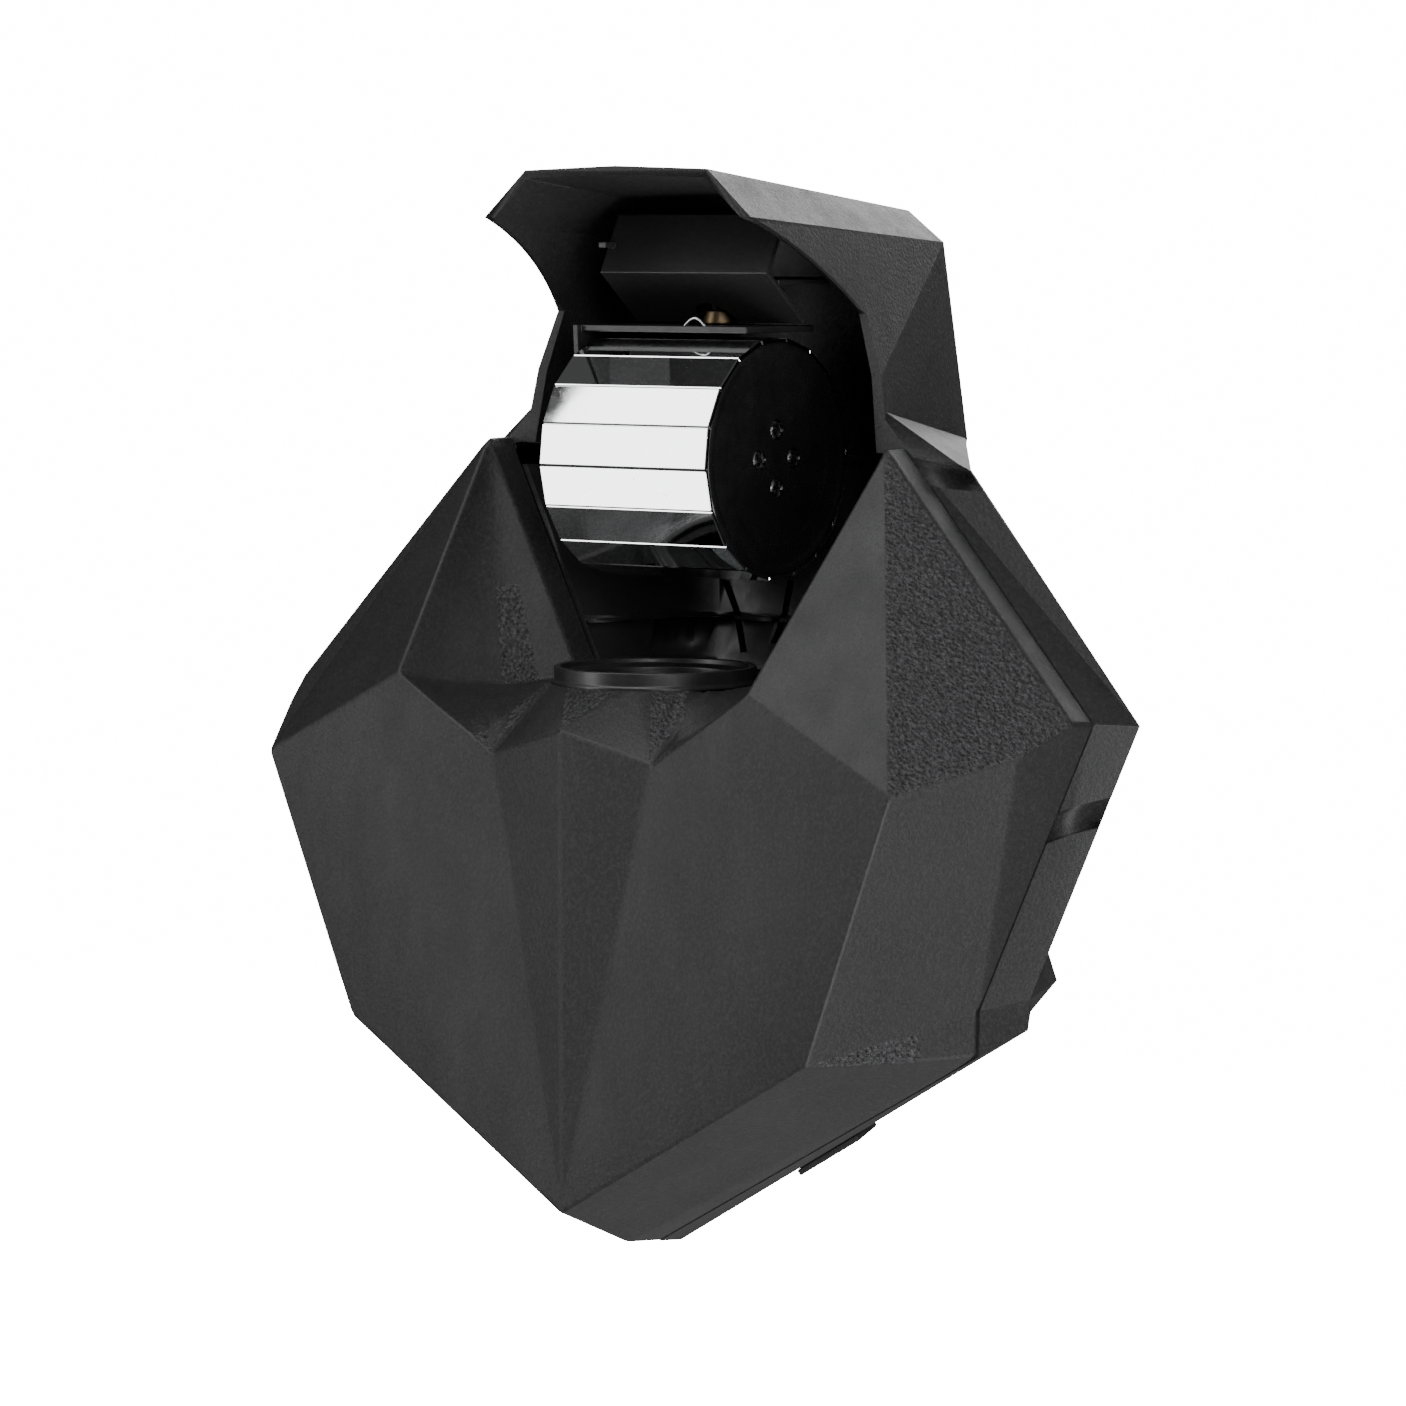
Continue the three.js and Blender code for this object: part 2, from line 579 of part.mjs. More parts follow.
function wheel(z, holes, holeRadius) {
  const disc = rod('z', WHEEL.radius, z, z + WHEEL.thick, [0, WHEEL.y], 40);
  const openings = Array.from({ length: holes }, (_, i) => {
    const angle = (-90 + (i * 360) / holes) * DEG;
    const at = [WHEEL.ring * Math.cos(angle), WHEEL.y + WHEEL.ring * Math.sin(angle)];
    return rod('z', holeRadius, z - 1, z + 3, at, 14);
  });
  return cut(disc, rod('z', WHEEL.bore + 0.05, z - 1, z + 3, [0, WHEEL.y], 20), ...openings);
}

// A small stepper: round can, face plate and shaft; direction is +1 with the shaft up.
function wheelMotor(z, direction) {
  const [low, high] = [z, z + 16 * direction].sort((a, b) => a - b);
  const [from, to] = [z, z - 3.6 * direction].sort((a, b) => a - b);
  const can = rod('z', 11, low, high, [0, WHEEL.y], 28);
  return can.add(rod('z', WHEEL.bore - 0.25, from, to, [0, WHEEL.y], 16));
}

function heatsink() {
  const base = block([-34, -48, -75], [34, 5, -70]);
  const fins = Array.from({ length: 9 }, (_, i) => (
    block([-34 + i * 8.25, -48, -112], [-32 + i * 8.25, 5, -74.9])));
  return union(base, ...fins);
}

const ledBoard = () => block([-18, BEAM_Y - 18, -69.7], [18, BEAM_Y + 18, -68.1])
  .add(block([-6, BEAM_Y - 6, -68.2], [6, BEAM_Y + 6, -67.4]));

// The chassis plate between the wheels' motors: it carries the tube and the gobo motor.
function opticsPlate() {
  const plate = block([-46, -46, -29.5], [46, 38, -28]);
  return cut(plate, rod('z', 22.6, -40, -20, [0, BEAM_Y], 40), rod('z', 11.4, -40, -20, [0, WHEEL.y], 28));
}

// ---------------------------------------------------------------------------------------------------------
// Drum, its yoke and the two motors that drive them

const sideRadius = (flat) => flat / Math.cos(Math.PI / DRUM.sides);
const drumAt = (geometry) => geometry.rotateX(Math.PI / DRUM.sides).translate(0, DRUM.y, DRUM.z);
const FLAT = DRUM.radius * Math.cos(Math.PI / DRUM.sides);

const mirrorRing = () => drumAt(turned([
  [sideRadius(FLAT - MIRROR_THICK), DRUM.left], [DRUM.radius, DRUM.left], [DRUM.radius, DRUM.right - 0.3],
  [sideRadius(FLAT - MIRROR_THICK), DRUM.right - 0.3]], DRUM.sides, 'x'));

const drumCore = () => drumAt(turned([
  [29, DRUM.left + 1], [sideRadius(FLAT - MIRROR_THICK - 0.3), DRUM.left + 1],
  [sideRadius(FLAT - MIRROR_THICK - 0.3), 27.4], [2.6, 27.4], [2.6, -2], [8, -2], [8, 24], [29, 24]],
DRUM.sides, 'x'));

const CAP = { radius: 33, ridge: 23.4, screwRing: 8.6 };

// The black end disc: a raised rim, a shallow ring-shaped ridge and a dimple in the middle.
function drumCap() {
  const face = 29.6;
  const profile = [
    [0, 27.8], [CAP.radius, 27.8], [CAP.radius, 30.2], [CAP.radius - 1, DRUM.right], [CAP.radius - 2, face],
    [CAP.ridge + 1.4, face], [CAP.ridge + 0.5, 30.3], [CAP.ridge - 0.5, 30.3],
    [CAP.ridge - 1.4, face - 0.3], [3, face - 0.3], [0, face - 1]];
  const disc = toSolid(turned(profile, 36, 'x').translate(0, DRUM.y, DRUM.z));
  return cut(disc, ...screwPlaces().map(([y, z]) => rod('x', 3.5, 28.6, 33, [y, z], 16)));
}

const screwPlaces = () => Array.from({ length: 4 }, (_, i) => [
  DRUM.y + CAP.screwRing * Math.cos(i * 90 * DEG), DRUM.z + CAP.screwRing * Math.sin(i * 90 * DEG)]);

function drumScrew([y, z]) {
  const profile = [[0, 28.9], [3.2, 28.9], [3.2, 29.6], [2.4, 30.3], [0, 30.5]];
  const head = turned(profile, 14, 'x').translate(0, y, z);
  const recess = union(block([29.7, y - 0.35, z - 1.5], [31, y + 0.35, z + 1.5]),
    block([29.7, y - 1.5, z - 0.35], [31, y + 1.5, z + 0.35]));
  return cut(toSolid(head), recess);
}

const drumMotor = () => union(
  rod('x', 14, -33.7, -6, [DRUM.y, DRUM.z], 32), rod('x', 2.5, -6.5, 20, [DRUM.y, DRUM.z], 16));

// The yoke: a plate over the drum and an arm down its left side.
function panYoke() {
  const plate = block([-37.5, -6, YOKE_Z], [26, 28, YOKE_Z + YOKE_PLATE]);
  const top = YOKE_Z + YOKE_PLATE;
  const armOutline = [[-8, top], [18, top], [13, 64], [8, 57], [0, 57], [-5, 64]];
  const arm = cut(sidePrism(armOutline, -37.5, -35.5),
    rod('x', 6, -40, -34, [DRUM.y, DRUM.z], 24));
  return cut(union(plate, arm), rod('z', 2.8, 100, 115, [0, PAN_Y], 20));
}

const panHub = () => turned(
  [[2.8, 110.6], [5, 110.6], [5, 112], [4.2, 114.5], [2.8, 114.5]], 20).translate(0, PAN_Y, 0);

const PAN_MOTOR_Z = 124.4;
const panMotor = () => union(
  rod('z', 11, PAN_MOTOR_Z, PAN_MOTOR_Z + 11.6, [0, PAN_Y], 28),
  rod('z', 2.5, 108.5, PAN_MOTOR_Z + 1, [0, PAN_Y], 16));

const motorPlate = () => cut(
  union(block([-30, 4.6, 122.4], [30, 52, 124.1]), block([-30, 50.3, 122.4], [30, 52, 139])),
  rod('z', 9, 120, 130, [0, PAN_Y], 24));

// The bent guard in front of the motor: a leg down from the roof, a fold, and a flap back over the drum.
function motorGuard() {
  const thick = 1.4;
  const run = [[6.2, 143.2], [-2.8, 125.9], [15.6, 110.9]];
  const back = [[15.6 + thick, 110.9 + thick * 0.7], [-2.8 + thick * 1.5, 125.9], [6.2 + thick, 143.2]];
  const hook = block([-31, -3.5, 133.2], [-28.2, 2.6, 135]);
  return cut(union(sidePrism([...run, ...back], -31, 31), hook), rod('z', 7.5, 105, 121, [0, PAN_Y], 20));
}

// ---------------------------------------------------------------------------------------------------------
// Fan, supply and boards

const FAN = { z: -88, half: 24, y0: 36, y1: 50, bore: 22 };

const fanFrame = () => union(
  cut(block([-FAN.half, FAN.y0, FAN.z - FAN.half], [FAN.half, FAN.y1, FAN.z + FAN.half]),
    rod('y', FAN.bore, 0, 90, [0, FAN.z], 32)),
  rod('y', 8, FAN.y0, FAN.y0 + 2, [0, FAN.z], 20),
  block([-23, FAN.y0, FAN.z - 1.5], [23, FAN.y0 + 2, FAN.z + 1.5]));

function fanRotor() {
  const blades = Array.from({ length: 7 }, (_, i) => {
    const geometry = new THREE.BoxGeometry(14, 1.4, 9).translate(13.5, 0, 0);
    geometry.applyMatrix4(new THREE.Matrix4().makeRotationX(38 * DEG));
    geometry.rotateZ((i * 360 * DEG) / 7);
    return toSolid(geometry.rotateX(Math.PI / 2).translate(0, 44, FAN.z));
  });
  return union(rod('y', 9, FAN.y0 + 2.4, 49.4, [0, FAN.z], 28), ...blades);
}

const powerSupply = () => block([-92, -18, -58], [-60, 40, 6]);
const controlBoard = () => union(
  block([58, -20, -62], [59.6, 40, 14]), block([59.5, -12, -50], [70, 8, -30]),
  block([59.5, 14, -20], [66, 34, 4]));
const displayModule = () => block([-21, 57.6, 38], [21, REAR_FACE - PANEL_THICK - GAP, 56]);

// ---------------------------------------------------------------------------------------------------------
// Rear panel and what is fitted in it

const PANEL_Y = REAR_FACE - PANEL_THICK;
const POWER = [{ name: 'power_inlet', x: -44 }, { name: 'power_outlet', x: -13 }];
const SIGNAL = [{ name: 'signal_inlet', x: 17 }, { name: 'signal_outlet', x: 44 }];
const SOCKET_Z = -29;
const FUSE = { x: -50, z: -66 };
const EYE = { x: 52, z: -66 };
const EAR_X = 47;

function ventSlots() {
  return Array.from({ length: 7 }, (_, i) => {
    const z = FAN.z + 15.6 - i * 5.2;
    const half = Math.sqrt(Math.max(FAN.bore ** 2 - (z - FAN.z) ** 2, 60));
    return block([-half, PANEL_Y - 2, z - 0.9], [half, REAR_FACE + 2, z + 0.9]);
  });
}

function rearPanel() {
  const sheet = slab(inset(PANEL_OUTLINE, PANEL_REBATE + GAP), PANEL_Y, REAR_FACE);
  const through = (radius, x, z, sides = 22) => rod('y', radius, PANEL_Y - 2, REAR_FACE + 2, [x, z], sides);
  return cut(sheet, ...ventSlots(),
    block([-19, PANEL_Y - 2, 40], [19, REAR_FACE + 2, 54]),
    ...BUTTON.x.map((x) => through(BUTTON.radius + 0.4, x, BUTTON.z, 16)),
    ...POWER.map(({ x }) => through(12.4, x, SOCKET_Z)), ...SIGNAL.map(({ x }) => through(11.4, x, SOCKET_Z)),
    through(7.4, FUSE.x, FUSE.z), through(3.3, EYE.x, EYE.z),
    ...PANEL_SCREWS.map(([x, z]) => through(1.7, x, z, 10)));
}

// A round chassis socket: flange on the outside of the panel, body through it and a keyed well in its face.
function chassisSocket({ x }, bodyRadius, flangeHalf, wellRadius, key) {
  const flange = block([x - flangeHalf, REAR_FACE + GAP, SOCKET_Z - 15.5],
    [x + flangeHalf, REAR_FACE + 2.3, SOCKET_Z + 15.5]);
  const body = rod('y', bodyRadius, REAR_FACE - 21, REAR_FACE + 4.6, [x, SOCKET_Z], 26);
  const well = rod('y', wellRadius, REAR_FACE - 14, REAR_FACE + 8, [x, SOCKET_Z], 24);
  const pins = key.map(([dx, dz]) => (
    rod('y', 1.2, REAR_FACE - 15, REAR_FACE - 3, [x + dx, SOCKET_Z + dz], 8)));
  return union(cut(union(flange, body), well), ...pins);
}

const POWER_PINS = [[-4, 0], [4, 0], [0, 4.5]];
const SIGNAL_PINS = [[-4, 2], [4, 2], [0, -4.4]];

const fuseHolder = () => cut(
  union(rod('y', 7, REAR_FACE - 24, REAR_FACE + 0.5, [FUSE.x, FUSE.z], 28),
    rod('y', 9, REAR_FACE + GAP, REAR_FACE + 2, [FUSE.x, FUSE.z], 28)),
  rod('y', 5.4, REAR_FACE - 20, REAR_FACE + 8, [FUSE.x, FUSE.z], 24));

const fuseCap = () => cut(
  union(rod('y', 5, REAR_FACE - 8, REAR_FACE + 3, [FUSE.x, FUSE.z], 24),
    rod('y', 6.6, REAR_FACE + 2.4, REAR_FACE + 7, [FUSE.x, FUSE.z], 24)),
  block([FUSE.x - 4.4, REAR_FACE + 5.6, FUSE.z - 0.6], [FUSE.x + 4.4, REAR_FACE + 9, FUSE.z + 0.6]));

const menuButton = (x) => union(
  rod('y', BUTTON.radius, REAR_FACE - 6, REAR_FACE + 2.4, [x, BUTTON.z], 16),
  rod('y', BUTTON.radius + 1, REAR_FACE - 7, REAR_FACE - 4, [x, BUTTON.z], 16));

const buttonBoard = () => block([-33, REAR_FACE - 10.6, 19], [33, REAR_FACE - 9, 33]);

function safetyEye() {
  const ring = new THREE.TorusGeometry(6, 1.6, 8, 20).rotateY(Math.PI / 2);
  ring.translate(EYE.x, REAR_FACE + 9.2, EYE.z);
  return union(toSolid(ring), rod('y', 3, REAR_FACE - 8, REAR_FACE + 3, [EYE.x, EYE.z], 20),
    rod('y', 6.5, REAR_FACE + GAP, REAR_FACE + 2, [EYE.x, EYE.z], 24));
}

function panelScrew([x, z]) {
  const profile = [[0, 64.3], [3.2, 64.3], [3.2, 65], [2.3, 66], [0, 66.2]];
  const head = turned(profile, 12, 'y').translate(x, 0, z);
  const shank = rod('y', 1.4, 57, 64.6, [x, z], 8);
  const recess = union(block([x - 1.8, 65.2, z - 0.4], [x + 1.8, 67, z + 0.4]),
    block([x - 0.4, 65.2, z - 1.8], [x + 0.4, 67, z + 1.8]));
  return cut(union(toSolid(head), shank), recess);
}

// ---------------------------------------------------------------------------------------------------------
// Tilting bracket

// An ear stands out of the rear panel and carries the tilt axis; side is +1 on the right.
function bracketEar(side) {
  const plate = REAR_FACE + 3.3;
  const outline = [[REAR_FACE + GAP, -11], [PIVOT.y, -11], [PIVOT.y + 7.5, -8], [PIVOT.y + 11, 0],
    [PIVOT.y + 7.5, 8], [PIVOT.y, 11], [REAR_FACE + GAP, 11]];
  const [inner, outer] = [EAR_X * side, (EAR_X + 4) * side].sort((a, b) => a - b);
  const [footA, footB] = [(EAR_X - 14) * side, (EAR_X + 4) * side].sort((a, b) => a - b);
  const foot = block([footA, REAR_FACE + GAP, -11], [footB, plate, 11]);
  return cut(union(sidePrism(outline, inner, outer), foot), rod('x', 4.4, -90, 90, [PIVOT.y, PIVOT.z], 20));
}

// The hanging bracket: one strip of steel bent to a U, with a long hole each side of the middle of its back.
function hangingBracket() {
  const { half, thick, width } = BRACKET;
  const back = block([-half, BRACKET_FACE - thick, -width / 2], [half, BRACKET_FACE, width / 2]);
  const corner = width / 2;
  const outline = [[BRACKET_FACE - 1, -corner], [BRACKET_FACE - 1, corner], [PIVOT.y + 5, corner],
    [PIVOT.y - 6, 9], [PIVOT.y - 11, 3], [PIVOT.y - 11, -3], [PIVOT.y - 6, -9], [PIVOT.y + 5, -corner]];
  const cheek = sidePrism(outline, 0, thick);
  const { slotRadius } = BRACKET;
  const slots = [-26, 26].map((x) => union(
    block([x - 8, 100, -slotRadius], [x + 8, 130, slotRadius]),
    ...[x - 8, x + 8].map((end) => rod('y', slotRadius, 100, 130, [end, 0], 16))));
  const strip = union(back, cheek.translate([half - thick, 0, 0]), cheek.translate([-half, 0, 0]));
  return cut(strip, ...slots, rod('x', 4.4, -90, 90, [PIVOT.y, PIVOT.z], 24));
}

// A clamping knob: lobed grip outside the bracket and a threaded stud through bracket and ear.
function clampKnob(side) {
  const grip = rod('x', 12, 0.3, 12, [0, 0], 36);
  const lobes = Array.from({ length: 6 }, (_, i) => rod('x', 3.4, -1, 14, [
    14 * Math.cos(i * 60 * DEG), 14 * Math.sin(i * 60 * DEG)], 16));
  const collarPart = rod('x', 8, 0.3, 4, [0, 0], 24);
  const stud = rod('x', 3.9, -14, 1, [0, 0], 20);
  const knob = union(cut(grip, ...lobes), collarPart, stud);
  const place = knob.translate([BRACKET.half, PIVOT.y, PIVOT.z]);
  return side > 0 ? place : place.mirror([1, 0, 0]);
}

// A thin soft pad stuck on the sloping underside just behind its front edge.
function underPad(side) {
  const along = heelLowOuter.clone().sub(keelOuter).normalize();
  const down = vec(0, 0, 0).crossVectors(backLow.clone().sub(keelOuter), along).normalize();
  const across = vec(0, 0, 0).crossVectors(along, down);
  const centre = keelOuter.clone().addScaledVector(along, 58);
  centre.addScaledVector(across, 9).addScaledVector(down, 1 + GAP);
  const geometry = new THREE.BoxGeometry(14, 24, 2);
  geometry.applyMatrix4(new THREE.Matrix4().makeBasis(across, along, down).setPosition(centre));
  const pad = toSolid(geometry);
  return side > 0 ? pad : pad.mirror([1, 0, 0]);
}

// ---------------------------------------------------------------------------------------------------------
// The assembly

const pieces = [];
function piece(name, shape, material) {
  const geometry = shape.isBufferGeometry ? shape : toGeometry(shape);
  const mesh = new THREE.Mesh(geometry, material());
  mesh.name = name;
  pieces.push(mesh);
}

piece('front_shell', frontShell(), blackPlastic);
piece('rear_shell', rearShell(), blackPlastic);
piece('bay_liner', bayLiner(), fineBlackPlastic);
piece('collar', collar(), fineBlackPlastic);

piece('lens_tube', lensTube(), fineBlackPlastic);
piece('front_lens', frontLens(), clearGlass);
piece('condenser_lens', condenser(), clearGlass);
piece('gobo_wheel', wheel(GOBO_Z, 8, WHEEL.hole), aluminium);
piece('colour_wheel', wheel(COLOUR_Z, 9, WHEEL.hole + 1.5), aluminium);
piece('gobo_motor', wheelMotor(GOBO_Z + WHEEL.thick + 2.4, 1), bareSteel);
piece('colour_motor', wheelMotor(COLOUR_Z - 2.4, -1), bareSteel);
piece('optics_plate', opticsPlate(), blackSteel);
piece('led_board', ledBoard(), ledYellow);
piece('heatsink', heatsink(), aluminium);

piece('mirror_ring', mirrorRing(), mirrorGlass);
piece('drum_core', drumCore(), fineBlackPlastic);
piece('drum_cap', drumCap(), fineBlackPlastic);
screwPlaces().forEach((place, i) => piece(`drum_screw_${i + 1}`, drumScrew(place), blackSteel));
piece('drum_motor', drumMotor(), bareSteel);
piece('pan_yoke', panYoke(), blackSteel);
piece('pan_hub', panHub(), brass);
piece('pan_motor', panMotor(), bareSteel);
piece('motor_plate', motorPlate(), blackSteel);
piece('motor_guard', motorGuard(), blackSteel);

piece('fan_frame', fanFrame(), fineBlackPlastic);
piece('fan_rotor', fanRotor(), fineBlackPlastic);
piece('power_supply', powerSupply(), bareSteel);
piece('control_board', controlBoard(), greenBoard);
piece('display_module', displayModule(), displayGlass);
piece('button_board', buttonBoard(), greenBoard);

piece('rear_panel', rearPanel(), blackSteel);
BUTTON.x.forEach((x, i) => piece(`menu_button_${i + 1}`, menuButton(x), fineBlackPlastic));
POWER.forEach((spot) => piece(spot.name, chassisSocket(spot, 12, 13.5, 9.6, POWER_PINS), fineBlackPlastic));
SIGNAL.forEach((spot) => piece(spot.name, chassisSocket(spot, 11, 12.5, 8.6, SIGNAL_PINS), fineBlackPlastic));
piece('fuse_holder', fuseHolder(), fineBlackPlastic);
piece('fuse_cap', fuseCap(), fineBlackPlastic);
piece('safety_eye', safetyEye(), bareSteel);
PANEL_SCREWS.forEach((place, i) => piece(`panel_screw_${i + 1}`, panelScrew(place), blackSteel));

piece('bracket_ear_left', bracketEar(-1), blackSteel);
piece('bracket_ear_right', bracketEar(1), blackSteel);
piece('hanging_bracket', hangingBracket(), blackSteel);
piece('clamp_knob_left', clampKnob(-1), fineBlackPlastic);
piece('clamp_knob_right', clampKnob(1), fineBlackPlastic);
piece('under_pad_left', underPad(-1), rubber);
piece('under_pad_right', underPad(1), rubber);

const light = new THREE.Group();
light.add(...pieces);
light.position.y = -BRACKET_FACE;
const part = new THREE.Group();
part.add(light);
export default part;
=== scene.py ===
"""Looks for a barrel scanner effect light: a faceted black housing, a mirrored drum under a hood, a collar
for the beam and a tilting bracket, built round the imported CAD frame. Metres, in the frame's own axes."""

import json
import math

import bmesh
import bpy
import numpy as np
from mathutils import Matrix, Vector

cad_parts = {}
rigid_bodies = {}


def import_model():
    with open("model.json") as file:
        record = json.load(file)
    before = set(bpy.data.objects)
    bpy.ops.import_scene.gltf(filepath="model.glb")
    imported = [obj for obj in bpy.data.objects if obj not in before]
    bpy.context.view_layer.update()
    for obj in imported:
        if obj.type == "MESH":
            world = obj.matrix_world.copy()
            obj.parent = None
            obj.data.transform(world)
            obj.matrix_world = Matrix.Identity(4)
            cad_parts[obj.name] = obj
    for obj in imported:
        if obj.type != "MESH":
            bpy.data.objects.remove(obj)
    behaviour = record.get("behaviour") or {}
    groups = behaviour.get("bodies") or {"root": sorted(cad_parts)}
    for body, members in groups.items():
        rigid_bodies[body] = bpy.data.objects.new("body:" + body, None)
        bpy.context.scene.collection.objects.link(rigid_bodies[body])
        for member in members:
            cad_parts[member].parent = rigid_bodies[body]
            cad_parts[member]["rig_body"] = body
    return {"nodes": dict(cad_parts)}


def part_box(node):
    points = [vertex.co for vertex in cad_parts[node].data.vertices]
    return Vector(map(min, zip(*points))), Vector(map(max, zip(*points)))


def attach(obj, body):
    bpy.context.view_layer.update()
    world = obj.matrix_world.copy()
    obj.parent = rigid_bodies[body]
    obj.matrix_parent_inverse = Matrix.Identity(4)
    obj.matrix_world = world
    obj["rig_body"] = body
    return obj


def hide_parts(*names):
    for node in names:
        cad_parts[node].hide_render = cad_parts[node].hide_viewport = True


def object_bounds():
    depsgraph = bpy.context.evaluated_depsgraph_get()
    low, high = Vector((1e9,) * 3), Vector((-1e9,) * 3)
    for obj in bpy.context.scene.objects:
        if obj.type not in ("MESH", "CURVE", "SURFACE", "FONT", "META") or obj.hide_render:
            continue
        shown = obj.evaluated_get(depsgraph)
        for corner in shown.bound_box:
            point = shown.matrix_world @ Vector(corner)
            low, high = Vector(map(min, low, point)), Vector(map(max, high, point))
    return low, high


bl_info = {
    "name": "Barrel scanner light",
    "version": (1, 0, 0),
    "blender": (4, 5, 0),
    "location": "View3D > Sidebar > Barrel Light",
    "description": "Builds the shells, mirrored drum, optics and bracket of a barrel scanner light",
    "category": "Object",
}

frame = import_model()
CAD_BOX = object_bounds()
NODES = frame["nodes"]
MM = 0.001

# The coarse-grained facets of the front shell: which way each one looks, on the right-hand side, and how
# far from the middle plane its centre may lie.
COARSE_FACETS = (((0.587, -0.558, 0.586), 0.2), ((0.893, -0.450, -0.022), 0.1006),
                 ((0.0, -0.627, 0.779), 0.035))
SAME_WAY = 0.98  # cosine of the widest angle at which a face still counts as looking that way

STRIPS = 18  # mirror strips round the drum
DRUM_RADIUS = 36 * MM  # to the corners between the strips
HEAD_RADIUS = 3.2 * MM  # of the pan-head screws in the drum's cap and the rear panel


# ------------------------------------------------------------------------------------------------ surfaces


def corners(node):
    """Lowest corner, highest corner and middle of a CAD node, as arrays."""
    low, high = (np.array(corner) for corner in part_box(node))
    return low, high, (low + high) / 2


def keep(piece, node, materials):
    """Gives a finished piece its materials and its body, and hides the CAD node that it stands for."""
    piece.data.materials.clear()
    for material in materials:
        piece.data.materials.append(material)
    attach(piece, NODES[node]["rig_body"])
    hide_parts(node)


def add(piece, node, material):
    """A piece that stands for no CAD node: it gets its material and slot, and rides on a node's body."""
    piece.data.materials.append(material)
    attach(piece, NODES[node]["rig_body"])


def paint(node, material):
    """A CAD node whose shape is right keeps it and gets a detailed material."""
    NODES[node].data.materials.clear()
    NODES[node].data.materials.append(material)


def link(name, mesh):
    """Puts a mesh in the scene as an object at the origin."""
    piece = bpy.data.objects.new(name, mesh)
    bpy.context.scene.collection.objects.link(piece)
    return piece


def mesh_from(name, points, quads, flat=False):
    """A mesh from arrays of points and quads, welded, closed at its poles and with its faces outwards."""
    mesh = bpy.data.meshes.new(name)
    points, quads = np.reshape(points, (-1, 3)), np.reshape(quads, (-1, 4))
    mesh.from_pydata(points.tolist(), [], quads.tolist())
    work = bmesh.new()
    work.from_mesh(mesh)
    bmesh.ops.remove_doubles(work, verts=work.verts, dist=1e-7)
    bmesh.ops.recalc_face_normals(work, faces=work.faces)
    work.to_mesh(mesh)
    work.free()
    if not flat:
        mesh.shade_smooth()
        mesh.set_sharp_from_angle(angle=math.radians(35))
    return mesh


def grid_quads(rows, columns, wrap_rows=False, wrap_columns=False):
    """Quads between the neighbours of a grid of points, going round again where an axis wraps."""
    index = np.arange(rows * columns).reshape(rows, columns)
    beside = np.roll(index, -1, axis=1)
    above = np.roll(index, -1, axis=0)
    across = np.roll(beside, -1, axis=0)
    quads = np.stack([index, beside, across, above], axis=-1)
    last_row = rows if wrap_rows else rows - 1
    last_column = columns if wrap_columns else columns - 1
    return quads[:last_row, :last_column].reshape(-1, 4)


def rounded(profile, radius, steps=4):
    """Rounds each inner corner of an open profile. A corner c becomes (1-t)^2 a + 2t(1-t) c + t^2 b, where a
    and b lie on its two sides at the radius, or at 45 % of the side where that is nearer."""
    points = np.asarray(profile, float)
    before, corner, after = points[:-2], points[1:-1], points[2:]
    to_before, to_after = before - corner, after - corner
    reach_a = np.minimum(radius, 0.45 * np.linalg.norm(to_before, axis=1, keepdims=True))
    reach_b = np.minimum(radius, 0.45 * np.linalg.norm(to_after, axis=1, keepdims=True))
    start = corner + to_before / np.linalg.norm(to_before, axis=1, keepdims=True) * reach_a
    end = corner + to_after / np.linalg.norm(to_after, axis=1, keepdims=True) * reach_b
    t = np.linspace(0, 1, steps + 1).reshape(1, -1, 1)
    curve = (1 - t) ** 2 * start[:, None] + 2 * t * (1 - t) * corner[:, None] + t**2 * end[:, None]
    return np.concatenate([points[:1], curve.reshape(-1, 2), points[-1:]])


def laid(local, axis, place):
    """Lays points (across, across, along) on an axis through a place, turned the right-handed way."""
    order = {"x": (2, 0, 1), "y": (1, 2, 0), "z": (0, 1, 2)}[axis]
    return local[..., order] + np.asarray(place)


def turned(name, profile, axis, place, turns=96, ripple=None):
    """A turned surface. A profile point (r, h) goes round as (r cos a, r sin a, h) on the axis through
    place. Ripple, where given, works out new radii and heights from the radius, height and angle."""
    profile = np.asarray(profile, float)
    angle = np.linspace(0, 2 * math.pi, turns, endpoint=False)
    radius, around = np.meshgrid(profile[:, 0], angle, indexing="ij")
    height = np.repeat(profile[:, 1:2], turns, axis=1)
    if ripple:
        radius, height = ripple(radius, height, around)
    local = np.stack([radius * np.cos(around), radius * np.sin(around), height], axis=-1)
    return mesh_from(name, laid(local, axis, place), grid_quads(len(profile), turns, wrap_columns=True))


def tube(name, path, radius, sides=14):
    """A round tube: a circle of the given radius carried along the path, square to its direction, with a
    ring of no radius at each end that closes it."""
    path = np.asarray(path, float)
    path = np.concatenate([path[:1], path, path[-1:]])
    along = np.gradient(path, axis=0)
    along[0], along[-1] = along[1], along[-2]
    along /= np.linalg.norm(along, axis=1, keepdims=True)
    side = np.cross(along, (0.31, 0.94, 0.12))
    side /= np.linalg.norm(side, axis=1, keepdims=True)
    other = np.cross(along, side)
    size = np.full((len(path), 1, 1), radius)
    size[0] = size[-1] = 0
    angle = np.linspace(0, 2 * math.pi, sides, endpoint=False)[None, :, None]
    ring = side[:, None] * np.cos(angle) + other[:, None] * np.sin(angle)
    return mesh_from(name, path[:, None] + ring * size, grid_quads(len(path), sides, wrap_columns=True))


